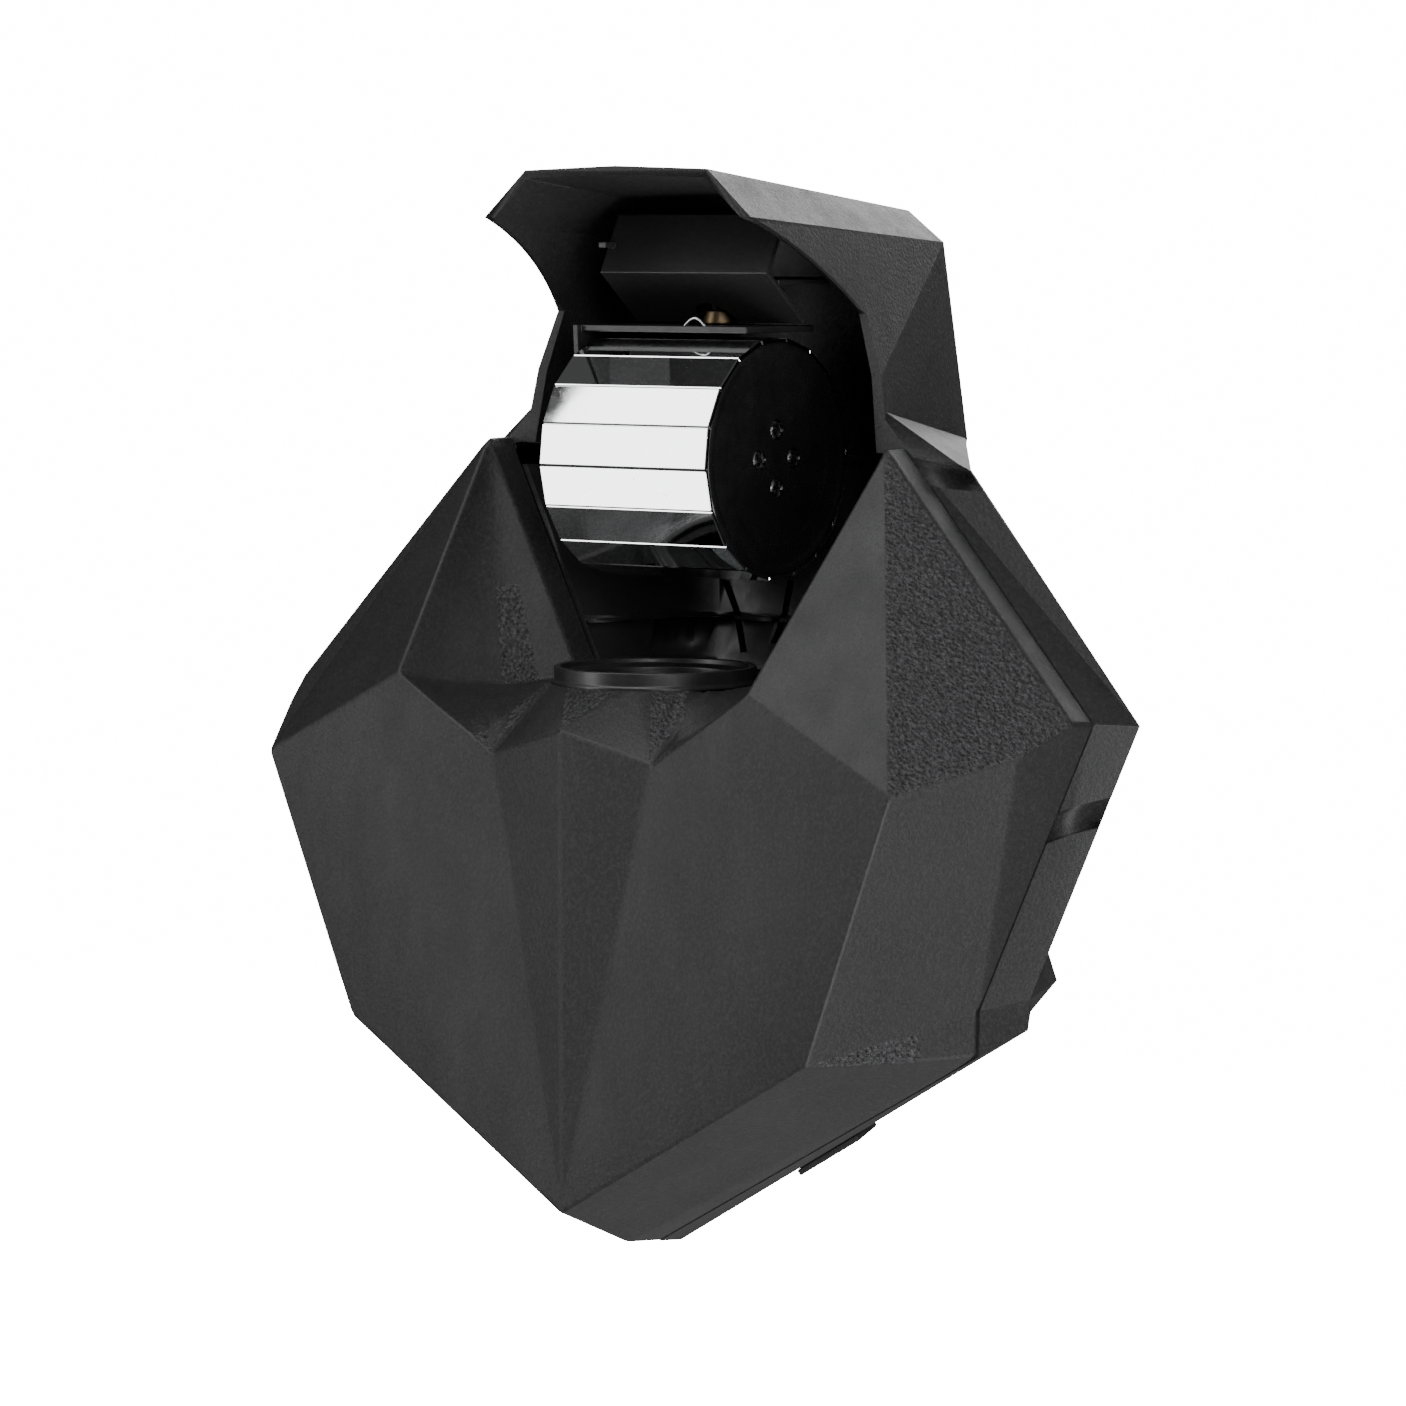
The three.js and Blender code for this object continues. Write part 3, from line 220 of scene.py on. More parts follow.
def in_hollow(edge):
    """True for an edge inside one of the two hollow sheets beside the bay, which have to stay smooth: both
    its faces look inwards to the middle and upwards, and the edge only turns a little."""
    side = 1.0 if edge.verts[0].co.x > 0 else -1.0
    inward = all(face.normal.x * side < -0.25 and face.normal.z > 0.1 and face.normal.y < 0
                 for face in edge.link_faces)
    return inward and edge.calc_face_angle(0.0) < math.radians(30)


def softened(name, node, width, turn=14.0, shortest=5.0, segments=3, clamp=True):
    """A copy of a CAD node with its vertices merged, its flat faces joined and its longer edges rounded.
    Edges that turn by more than turn degrees and are longer than shortest millimetres are rounded."""
    mesh = NODES[node].data.copy()
    mesh.name = name
    work = bmesh.new()
    work.from_mesh(mesh)
    bmesh.ops.remove_doubles(work, verts=work.verts, dist=3e-6)
    bmesh.ops.dissolve_limit(
        work, angle_limit=math.radians(0.5), verts=work.verts, edges=work.edges,
        use_dissolve_boundaries=False)
    weight = work.edges.layers.float.new("bevel_weight_edge")
    for edge in work.edges:
        sharp = edge.is_manifold and edge.calc_face_angle(0.0) > math.radians(turn) and not in_hollow(edge)
        edge[weight] = 1.0 if sharp and edge.calc_length() > shortest * MM else 0.0
        edge.smooth = not sharp
    for face in work.faces:
        face.smooth = True
    work.to_mesh(mesh)
    work.free()
    piece = link(name, mesh)
    bevel = piece.modifiers.new("rounded edges", "BEVEL")
    bevel.limit_method = "WEIGHT"
    bevel.width = width
    bevel.segments = segments
    bevel.use_clamp_overlap = clamp
    bevel.miter_outer = "MITER_SHARP"
    even = piece.modifiers.new("even shading", "WEIGHTED_NORMAL")
    even.weight = 90
    even.keep_sharp = False
    return piece


def mark_coarse(piece):
    """Writes a face attribute that is 1 on the facets with the coarse grain and 0 elsewhere."""
    mesh = piece.data
    normal = np.zeros(len(mesh.polygons) * 3)
    mesh.polygons.foreach_get("normal", normal)
    normal = normal.reshape(-1, 3)
    normal[:, 0] = np.abs(normal[:, 0])
    centre = np.zeros(len(mesh.polygons) * 3)
    mesh.polygons.foreach_get("center", centre)
    aside = np.abs(centre.reshape(-1, 3)[:, 0])
    facing = [(normal @ (np.array(way) / np.linalg.norm(way)) > SAME_WAY) & (aside < widest)
              for way, widest in COARSE_FACETS]
    coarse = np.any(facing, axis=0).astype(np.float32)
    mesh.attributes.new("coarse", "FLOAT", "FACE").data.foreach_set("value", coarse)


# ----------------------------------------------------------------------------------------------- materials


class Recipe:
    """Short words for building one procedural material on object coordinates."""

    def __init__(self, name):
        self.material = bpy.data.materials.new(name)
        self.material.use_nodes = True
        self.tree = self.material.node_tree
        self.shader = self.tree.nodes["Principled BSDF"]
        self.place = self.tree.nodes.new("ShaderNodeTexCoord").outputs["Object"]

    def node(self, kind, **inputs):
        """A node with values or links for its named inputs."""
        made = self.tree.nodes.new(kind)
        for socket, value in inputs.items():
            self.feed(made.inputs[socket.replace("_", " ")], value)
        return made

    def feed(self, socket, value):
        """Links another node's output to a socket, or sets the socket's own value."""
        if isinstance(value, bpy.types.NodeSocket):
            self.tree.links.new(value, socket)
        else:
            socket.default_value = value

    def noise(self, size, detail=3.0, rough=0.55, stretch=None):
        """Noise with features of about size metres, longer along an axis where stretch says so."""
        place = self.place
        if stretch:
            mapping = self.node("ShaderNodeMapping", Vector=self.place, Scale=stretch)
            place = mapping.outputs[0]
        made = self.node("ShaderNodeTexNoise", Vector=place, Scale=1 / size, Detail=detail, Roughness=rough)
        return made.outputs["Fac"]

    def pits(self, size, smooth=0.6):
        """Rounded cells of about size metres, for moulded grain."""
        made = self.node("ShaderNodeTexVoronoi", Vector=self.place, Scale=1 / size)
        made.feature = "SMOOTH_F1"
        made.inputs["Smoothness"].default_value = smooth
        return made.outputs["Distance"]

    def ramp(self, value, low, high, start=0.3, end=0.7):
        """A value moved from start..end to low..high, held at both ends."""
        made = self.node("ShaderNodeMapRange", Value=value)
        for socket, number in zip(("From Min", "From Max", "To Min", "To Max"), (start, end, low, high)):
            made.inputs[socket].default_value = number
        return made.outputs["Result"]

    def blend(self, share, first, second):
        """One colour into another by a share from 0 to 1."""
        made = self.tree.nodes.new("ShaderNodeMix")
        made.data_type = "RGBA"
        self.feed(made.inputs[0], share)
        self.feed(made.inputs[6], first)
        self.feed(made.inputs[7], second)
        return made.outputs[2]

    def maths(self, operation, first, second):
        """Two values added, multiplied and so on."""
        made = self.tree.nodes.new("ShaderNodeMath")
        made.operation = operation
        self.feed(made.inputs[0], first)
        self.feed(made.inputs[1], second)
        return made.outputs[0]

    def bump(self, height, depth, strength=1.0, below=None):
        """A bump of depth metres, on top of another bump where one is given."""
        made = self.node("ShaderNodeBump", Height=height, Distance=depth)
        self.feed(made.inputs["Strength"], strength)
        if below is not None:
            self.feed(made.inputs["Normal"], below)
        return made.outputs["Normal"]

    def finish(self, **inputs):
        """The material, with its shader's sockets fed."""
        names = {"colour": "Base Color", "rough": "Roughness", "metal": "Metallic", "normal": "Normal",
                 "ior": "IOR", "see_through": "Transmission Weight", "coat": "Coat Weight",
                 "coat_rough": "Coat Roughness", "specular": "Specular IOR Level"}
        for key, value in inputs.items():
            self.feed(self.shader.inputs[names[key]], value)
        return self.material


def shade(colour, factor):
    """A colour made darker or lighter by a factor, with full alpha."""
    return (colour[0] * factor, colour[1] * factor, colour[2] * factor, 1.0)


def material(name, make):
    """The finish of that name, made the first time that it is asked for. The frame's own plain materials
    hold the bare names, so a finish has a longer one."""
    full = f"{name}_finish"
    return bpy.data.materials.get(full) or make(full)


def shell_plastic(settings):
    """Black moulded plastic: a fine grain all over, and a coarse one on the facets marked coarse."""
    def make(name):
        mix = Recipe(name)
        cloud = mix.noise(0.035, 4.0)
        fine = mix.noise(0.0011, 3.0, 0.75)
        cells = mix.pits(0.0012)
        speck = mix.noise(0.0012, 3.0, 0.75)
        coarse = mix.node("ShaderNodeAttribute")
        coarse.attribute_name = "coarse"
        share = coarse.outputs["Fac"]
        tone = mix.blend(mix.ramp(cloud, 0, 1), shade(settings.plastic, 0.85), shade(settings.plastic, 1.1))
        grained = mix.blend(mix.ramp(fine, 0, 0.6, 0.45, 0.65), tone, shade(settings.plastic, 1.9))
        flecks = mix.blend(mix.maths("MULTIPLY", mix.ramp(speck, 0, 1, 0.46, 0.64), share),
                           grained, shade(settings.plastic, 3.2))
        rub = mix.ramp(mix.noise(0.012, 6.0, 0.65, (1.0, 1.0, 0.35)), 0.40, 0.52)
        rough = mix.maths("ADD", rub, mix.ramp(fine, -0.05, 0.06))
        lower = mix.bump(fine, settings.grain * 0.0003, 0.6)
        strength = mix.ramp(share, 0.05, 1.0, 0, 1)
        upper = mix.bump(mix.maths("ADD", cells, speck), settings.grain * 0.0006, strength, lower)
        return mix.finish(colour=flecks, rough=rough, normal=upper, specular=0.32)
    return material("shell_plastic", make)


def fine_plastic(settings):
    """Smoother black plastic with faint flow marks and handling marks."""
    def make(name):
        mix = Recipe(name)
        cloud = mix.noise(0.02, 4.0)
        fine = mix.noise(0.0007, 3.0, 0.6)
        marks = mix.noise(0.006, 8.0, 0.75, (1.0, 0.3, 1.0))
        tone = mix.blend(mix.ramp(cloud, 0, 1), shade(settings.plastic, 0.65), shade(settings.plastic, 0.95))
        rough = mix.ramp(marks, 0.30, 0.48, 0.35, 0.65)
        return mix.finish(colour=tone, rough=rough, normal=mix.bump(fine, 0.00005, 0.5))
    return material("fine_plastic", make)


def gloss_plastic(settings):
    """Polished black plastic of the drum's end disc, with fine swirls from handling."""
    def make(name):
        mix = Recipe(name)
        haze = mix.noise(0.009, 6.0, 0.7)
        swirl = mix.noise(0.0014, 3.0, 0.6, (1.0, 4.0, 1.0))
        tone = mix.blend(mix.ramp(haze, 0, 1), shade(settings.plastic, 0.35), shade(settings.plastic, 0.7))
        rough = mix.maths("ADD", mix.ramp(haze, 0.16, 0.30), mix.ramp(swirl, -0.03, 0.05))
        return mix.finish(colour=tone, rough=rough, normal=mix.bump(swirl, 0.00002, 0.4), coat=0.3)
    return material("gloss_plastic", make)


def coated_steel(settings):
    """Black powder coat: orange peel, with a few rubbed spots that shine."""
    def make(name):
        mix = Recipe(name)
        peel = mix.noise(0.0012, 2.0, 0.45)
        grit = mix.noise(0.00035, 2.0, 0.6)
        rub = mix.noise(0.02, 7.0, 0.7)
        tone = mix.blend(mix.ramp(rub, 0, 1), shade(settings.coat, 0.85), shade(settings.coat, 1.3))
        rough = mix.maths("ADD", mix.ramp(rub, 0.44, 0.33), mix.ramp(grit, -0.04, 0.06))
        below = mix.bump(peel, 0.00009, 0.6)
        return mix.finish(colour=tone, rough=rough, normal=mix.bump(grit, 0.00003, 0.5, below))
    return material("coated_steel", make)


def metal(title, colour, low, high, stretch):
    """Bare metal with rolling lines along one axis, faint stains and a roughness from low to high."""
    def make(name):
        mix = Recipe(name)
        lines = mix.noise(0.0016, 6.0, 0.7, stretch)
        stain = mix.noise(0.014, 5.0, 0.6)
        tone = mix.blend(mix.ramp(stain, 0, 1), shade(colour, 0.8), shade(colour, 1.05))
        rough = mix.maths("ADD", mix.ramp(lines, low, high), mix.ramp(stain, -0.03, 0.05))
        return mix.finish(colour=tone, rough=rough, metal=1.0, normal=mix.bump(lines, 0.00002, 0.5))
    return material(title, make)


def bare_steel():
    """Zinc-plated sheet steel."""
    return metal("bare_steel", (0.60, 0.61, 0.62), 0.22, 0.42, (0.12, 1.0, 1.0))


def aluminium():
    """Milled aluminium."""
    return metal("aluminium", (0.66, 0.67, 0.68), 0.28, 0.46, (1.0, 0.1, 1.0))


def brass():
    """Brass gone dark with age."""
    return metal("brass", (0.16, 0.12, 0.07), 0.32, 0.5, (1.0, 1.0, 6.0))


def mirror_glass(settings):
    """Silvered glass: nearly perfect, with finger haze, dust specks and a very slight waviness."""
    def make(name):
        mix = Recipe(name)
        haze = mix.noise(0.012, 5.0, 0.6)
        dust = mix.noise(0.0009, 2.0, 0.5)
        wave = mix.noise(0.03, 1.0, 0.4)
        dusty = mix.ramp(dust, 0, 1, 0.70, 0.78)
        tone = mix.blend(dusty, shade(settings.mirror, 1.0), shade(settings.mirror, 0.7))
        rough = mix.maths("ADD", mix.ramp(haze, 0.012, 0.05), mix.ramp(dust, 0.0, 0.3, 0.70, 0.78))
        return mix.finish(colour=tone, rough=rough, metal=1.0, normal=mix.bump(wave, 0.00005, 0.15))
    return material("mirror_glass", make)


def glass_edge():
    """The cut edge of a mirror strip: ground glass, chipped here and there. Its near-white colour is partly
    the glass's own pale tone and partly a painted highlight for the edges' bright reflection.
    """
    def make(name):
        mix = Recipe(name)
        chips = mix.noise(0.0009, 4.0, 0.75)
        unchipped_and_highlit = mix.ramp(chips, 0, 1, 0.30, 0.52)
        # painted highlight: the near-white tone is partly pale ground glass and partly stands in for the
        # bright reflection off the strip ends
        tone = mix.blend(unchipped_and_highlit, (0.35, 0.37, 0.36, 1.0), (0.95, 0.97, 0.96, 1.0))
        return mix.finish(colour=tone, rough=mix.ramp(chips, 0.3, 0.6), metal=mix.ramp(chips, 0.0, 0.5),
                          normal=mix.bump(chips, 0.0002, 0.7))
    return material("glass_edge", make)


def clear_glass():
    """Lens glass with a thin coating and some dust."""
    def make(name):
        mix = Recipe(name)
        dust = mix.noise(0.0011, 3.0, 0.6)
        haze = mix.noise(0.012, 4.0, 0.6)
        tone = mix.blend(mix.ramp(dust, 0, 1, 0.62, 0.75), (0.90, 0.95, 0.97, 1.0), (0.72, 0.73, 0.74, 1.0))
        rough = mix.maths("ADD", mix.ramp(haze, 0.01, 0.05), mix.ramp(dust, 0.0, 0.2, 0.62, 0.75))
        return mix.finish(colour=tone, rough=rough, see_through=0.85, ior=1.52, coat=0.4,
                          normal=mix.bump(haze, 0.00001, 0.2))
    return material("clear_glass", make)


def rubber():
    """Matt black rubber with a dusty bloom."""
    def make(name):
        mix = Recipe(name)
        bloom = mix.noise(0.004, 6.0, 0.7)
        fine = mix.noise(0.0005, 2.0, 0.6)
        tone = mix.blend(mix.ramp(bloom, 0, 1), (0.012, 0.012, 0.012, 1.0), (0.035, 0.034, 0.033, 1.0))
        return mix.finish(colour=tone, rough=mix.ramp(bloom, 0.75, 0.95), normal=mix.bump(fine, 0.0001, 0.7))
    return material("rubber", make)


def circuit_board():
    """Solder mask over copper: green, with darker runs of tracks and dull pads."""
    def make(name):
        mix = Recipe(name)
        tracks = mix.node("ShaderNodeTexBrick", Vector=mix.place, Scale=180.0)
        tracks.inputs["Mortar Size"].default_value = 0.03
        tracks.inputs["Color1"].default_value = (0.020, 0.120, 0.050, 1.0)
        tracks.inputs["Color2"].default_value = (0.026, 0.150, 0.062, 1.0)
        tracks.inputs["Mortar"].default_value = (0.010, 0.070, 0.030, 1.0)
        flux = mix.noise(0.005, 5.0, 0.6)
        tone = mix.blend(mix.ramp(flux, 0.0, 0.4), tracks.outputs["Color"], (0.09, 0.14, 0.07, 1.0))
        return mix.finish(colour=tone, rough=mix.ramp(flux, 0.28, 0.5),
                          normal=mix.bump(tracks.outputs["Fac"], -0.00005, 0.6))
    return material("circuit_board", make)


def display_glass():
    """Dark display window with faint columns of unlit dots behind it and finger marks on it."""
    def make(name):
        mix = Recipe(name)
        dots = mix.pits(0.0016, 0.1)
        marks = mix.noise(0.008, 6.0, 0.7)
        between = mix.ramp(dots, 0, 1, 0.25, 0.45)
        tone = mix.blend(between, (0.020, 0.045, 0.050, 1.0), (0.006, 0.012, 0.014, 1.0))
        return mix.finish(colour=tone, rough=mix.ramp(marks, 0.05, 0.22), coat=0.6,
                          normal=mix.bump(marks, 0.00001, 0.3))
    return material("display_glass", make)


def led_phosphor():
    """Yellow phosphor tiles on a white board."""
    def make(name):
        mix = Recipe(name)
        tiles = mix.node("ShaderNodeTexBrick", Vector=mix.place, Scale=240.0)
        tiles.offset = 0.0
        tiles.inputs["Color1"].default_value = (0.86, 0.66, 0.12, 1.0)
        tiles.inputs["Color2"].default_value = (0.80, 0.60, 0.10, 1.0)
        tiles.inputs["Mortar"].default_value = (0.78, 0.78, 0.76, 1.0)
        stain = mix.noise(0.004, 4.0)
        return mix.finish(colour=tiles.outputs["Color"], rough=mix.ramp(stain, 0.35, 0.6),
                          normal=mix.bump(stain, 0.00005, 0.4))
    return material("led_phosphor", make)


def dark_screw():
    """Blackened steel, worn bright where a driver has been."""
    def make(name):
        mix = Recipe(name)
        wear = mix.noise(0.0011, 5.0, 0.7)
        bare = mix.ramp(wear, 0, 1, 0.45, 0.62)
        tone = mix.blend(bare, (0.05, 0.05, 0.055, 1.0), (0.42, 0.42, 0.43, 1.0))
        return mix.finish(colour=tone, rough=mix.ramp(wear, 0.2, 0.42), metal=1.0,
                          normal=mix.bump(wear, 0.00004, 0.5))
    return material("dark_screw", make)


# -------------------------------------------------------------------------------------------------- pieces


def cross_recess(place_radius, depth, half_width, reach):
    """Sinks a cross into a screw's head: where a point of the head's top lies within half_width of either
    cross line and within reach of the middle, its height drops by the depth, with sloping sides."""
    def ripple(radius, height, around):
        across, along = np.abs(radius * np.cos(around)), np.abs(radius * np.sin(around))
        narrow, far = np.minimum(across, along), np.maximum(across, along)
        side = np.clip((half_width - narrow) / (0.35 * half_width), 0, 1)
        end = np.clip((reach - far) / (0.25 * reach), 0, 1)
        top = radius < place_radius
        return radius, height - depth * np.minimum(side, end) * top
    return ripple


def pan_screw(name, node, axis, radius, low, high, turns=96):
    """A pan-head screw with a cross recess. The head's top is a flat dome: its height falls by the fourth
    power of the distance from the middle."""
    middle = corners(node)[2]
    share = np.linspace(1, 0, 34)
    dome = np.stack([radius * share, low + (high - low) * (1 - 0.62 * share**4)], axis=-1)
    under = np.array([[0.0, low], [radius * 0.96, low], [radius, low + 0.12 * (high - low)]])
    ripple = cross_recess(0.97 * radius, 0.9 * (high - low), 0.17 * radius, 0.62 * radius)
    place = middle.copy()
    place["xyz".index(axis)] = 0
    return link(name, turned(name, np.concatenate([under, dome]), axis, place, turns, ripple))


def build_shells(settings):
    """Both shells, the bay's liner and the pads: CAD copies with rounded edges."""
    plastic = shell_plastic(settings)
    for name, node, width, turn in (("housing_front", "front_shell", settings.edge, 9.0),
                                    ("housing_rear", "rear_shell", 0.8 * MM, 14.0)):
        piece = softened(name, node, width, turn, shortest=7.0, clamp=node == "rear_shell")
        if node == "front_shell":
            mark_coarse(piece)
        keep(piece, node, [plastic])
    liner = softened("bay_lining", "bay_liner", 0.5 * MM, 28.0)
    keep(liner, "bay_liner", [fine_plastic(settings)])
    for side in ("left", "right"):
        pad = softened(f"soft_pad_{side}", f"under_pad_{side}", 0.5 * MM, 30.0, 1.0)
        keep(pad, f"under_pad_{side}", [rubber()])


def build_lens(name, node, sag, turns):
    """A lens with a flat back, a ground rim and a domed front, turned about the beam. At the radius r the
    front's height is edge + sag (1 - (r / radius)^2)."""
    low, high, middle = corners(node)
    radius, chamfer = (high[0] - low[0]) / 2, 0.3 * MM
    share = np.linspace(1, 0, 24)
    back = [[0.0, low[2]], [radius - chamfer, low[2]], [radius, low[2] + chamfer]]
    front = np.stack([radius * share, high[2] - sag + sag * (1 - share**2)], axis=-1)
    profile = np.concatenate([back, front])
    lens = link(name, turned(name, profile, "z", (middle[0], middle[1], 0), turns))
    keep(lens, node, [clear_glass()])


def build_collar(settings):
    """The beam's collar, the lens tube and both lenses, turned about the beam."""
    low, high, middle = corners("collar")
    outer = (high[0] - low[0]) / 2
    bore = outer - 5.3 * MM
    lip = outer - 0.5 * MM
    bottom, top = low[2], high[2]
    loop = np.array([
        [bore, bottom], [outer, bottom], [outer, top - 4.4 * MM], [lip, top - 3.9 * MM], [lip, top],
        [outer - 2.6 * MM, top], [outer - 3.0 * MM, top - 1.6 * MM], [bore, top - 2.6 * MM], [bore, bottom]])
    profile = rounded(loop, 0.45 * MM, 3)
    collar = link("beam_collar", turned("beam_collar", profile, "z", (middle[0], middle[1], 0), 128))
    keep(collar, "collar", [fine_plastic(settings)])

    build_lens("beam_lens", "front_lens", 4 * MM, 96)
    build_lens("light_lens", "condenser_lens", 5 * MM, 72)
    paint("lens_tube", fine_plastic(settings))


def drum_place():
    """Where the mirrors start and end along the drum, its axis as (y, z), and its cap's outer face."""
    low, high, _ = corners("mirror_ring")
    _, cap_high, cap_middle = corners("drum_cap")
    return low[0], high[0], cap_middle[1:], cap_high[0]


def build_mirrors(settings):
    """The drum's mirror strips: eighteen flat glass plates with ground edges and a thin seam between them.
    Each plate is the same six-sided section, a little smaller at its two ends. A point (out, wide) of it
    turns to (out cos a - wide sin a, out sin a + wide cos a), where a is the strip's share of the circle."""
    start, end, (y, z), _ = drum_place()
    flat = DRUM_RADIUS * math.cos(math.pi / STRIPS)
    half = DRUM_RADIUS * math.sin(math.pi / STRIPS) - settings.seam / 2
    thick, arris, slant, proud = 1.2 * MM, 0.26 * MM, 0.2 * MM, 0.1 * MM
    ends = np.array([start, start + arris, end - arris + proud, end + proud])
    section = np.array([[flat - thick, -half + slant], [flat - arris, -half], [flat, -half + arris],
                        [flat, half - arris], [flat - arris, half], [flat - thick, half - slant]])
    shrink = np.array([arris, 0, 0, arris])[:, None]
    out = section[:, 0] - shrink * (section[:, 0] > flat - 0.5 * thick)
    wide = section[:, 1] * (1 - shrink / half)
    first_turn = math.radians(3.2)
    turn = ((np.arange(STRIPS) + 0.5) * 2 * math.pi / STRIPS + first_turn)[:, None, None]
    along = out * np.cos(turn) - wide * np.sin(turn)
    up = out * np.sin(turn) + wide * np.cos(turn)
    points = np.stack([np.broadcast_to(ends[:, None], along.shape), y + along, z + up], axis=-1)

    rows, columns = out.shape
    body = grid_quads(rows, columns, wrap_columns=True)
    cap = np.array([[0, 1, 4, 5], [1, 2, 3, 4]])
    plate = np.concatenate([body, cap, cap + (rows - 1) * columns])
    quads = plate + (np.arange(STRIPS) * out.size)[:, None, None]
    silvered = (plate[:, 0] % columns == 2) & (plate[:, 0] // columns == 1)
    mesh = mesh_from("mirror_strips", points, quads, flat=True)
    kinds = np.tile(np.where(silvered, 0, 1), STRIPS).astype(np.int32)
    mesh.polygons.foreach_set("material_index", kinds)
    strips = link("mirror_strips", mesh)
    keep(strips, "mirror_ring", [mirror_glass(settings), glass_edge()])


def build_drum(settings):
    """The black drum inside the mirrors, its end disc and the four screws."""
    mirror_start, mirror_end, (y, z), face = drum_place()
    rim = DRUM_RADIUS - 1.35 * MM / math.cos(math.pi / STRIPS)
    start, end = mirror_start + 0.6 * MM, mirror_end - 0.4 * MM
    hollow, boss, shaft = 29 * MM, 8 * MM, 2.7 * MM
    boss_end, floor = -2 * MM, 24 * MM
    profile = np.array([
        [hollow, start], [rim, start], [rim, end], [shaft, end], [shaft, boss_end], [boss, boss_end],
        [boss, floor], [hollow, floor], [hollow, start]])
    core = link("drum_body", turned("drum_body", profile, "x", (0, y, z), STRIPS))
    core.data.shade_flat()
    keep(core, "drum_core", [fine_plastic(settings)])

    edge, groove = 34.6 * MM, 23.4 * MM
    shape = np.array([
        [0, end + 0.05 * MM], [edge, end + 0.05 * MM], [edge, face - 0.5 * MM], [edge - 0.5 * MM, face],
        [edge - 2.0 * MM, face], [edge - 3.2 * MM, face - 0.5 * MM], [groove + 1.6 * MM, face - 0.45 * MM],
        [groove + 0.8 * MM, face - 1.5 * MM], [groove - 0.5 * MM, face - 1.5 * MM],
        [groove - 1.2 * MM, face - 0.7 * MM], [16 * MM, face - 0.9 * MM], [3 * MM, face - 0.95 * MM],
        [1.3 * MM, face - 1.5 * MM], [0, face - 1.6 * MM]])
    cap = link("drum_end", turned("drum_end", rounded(shape, 0.7 * MM, 5), "x", (0, y, z), 144))
    keep(cap, "drum_cap", [gloss_plastic(settings)])
    for number in range(1, 5):
        node = f"drum_screw_{number}"
        screw = pan_screw(f"cap_screw_{number}", node, "x", HEAD_RADIUS, face - 1.2 * MM, face + 0.1 * MM)
        keep(screw, node, [dark_screw()])


def build_yoke(settings):
    """The yoke, the guard, the motors and the small wire clip on the yoke's front edge. The clip's height
    above the yoke is half a sine wave along its length."""
    steel = coated_steel(settings)
    for name, node, width in (("drum_yoke", "pan_yoke", 0.4), ("bent_guard", "motor_guard", 0.45),
                              ("motor_shelf", "motor_plate", 0.4)):
        piece = softened(name, node, width * MM, 20.0, 1.5)
        keep(piece, node, [steel])
    for name, node in (("drum_drive", "drum_motor"), ("pan_drive", "pan_motor"),
                       ("gobo_drive", "gobo_motor"), ("colour_drive", "colour_motor")):
        piece = softened(name, node, 0.5 * MM, 30.0, 1.0)
        keep(piece, node, [bare_steel()])
    hub = softened("yoke_hub", "pan_hub", 0.3 * MM, 30.0, 0.8)
    keep(hub, "pan_hub", [brass()])

    low, high, _ = corners("pan_yoke")
    inner, length, rise, wire = 2 * MM, 8 * MM, 2.6 * MM, 0.45 * MM
    share = np.linspace(0, 1, 25)
    arc = np.stack([inner + length * share, np.full_like(share, low[1] + 3.5 * MM),
                    high[2] - 0.3 * MM + rise * np.sin(math.pi * share)], axis=-1)
    add(link("wire_clip", tube("wire_clip", arc, wire)), "pan_yoke", bare_steel())


def build_optics(settings):
    """Wheels, plates, board and heat sink inside the housing."""
    for node in ("gobo_wheel", "colour_wheel", "heatsink"):
        paint(node, aluminium())
    paint("optics_plate", coated_steel(settings))
    paint("led_board", led_phosphor())


def build_electronics(settings):
    """Fan, supply, boards and display."""
    for node in ("fan_frame", "fan_rotor"):
        paint(node, fine_plastic(settings))
    paint("power_supply", bare_steel())
    paint("control_board", circuit_board())
    paint("button_board", circuit_board())
    paint("display_module", display_glass())


def build_keys(plastic):
    """The four menu keys, turned about their own axes: a flange, a cap and a slightly hollow face."""
    for number in range(1, 5):
        node = f"menu_button_{number}"
        low, high, middle = corners(node)
        flange, cap = (high[0] - low[0]) / 2, (high[0] - low[0]) / 2 - 1.0 * MM
        base, face = low[1], high[1]
        shape = np.array([
            [0, base], [flange, base], [flange, base + 3 * MM], [cap, base + 3 * MM], [cap, face],
            [0.6 * cap, face - 0.15 * MM], [0, face - 0.5 * MM]])
        profile = rounded(shape, 0.6 * MM)
        key = link(f"key_{number}", turned(f"key_{number}", profile, "y", (middle[0], 0, middle[2]), 64))
        keep(key, node, [plastic])


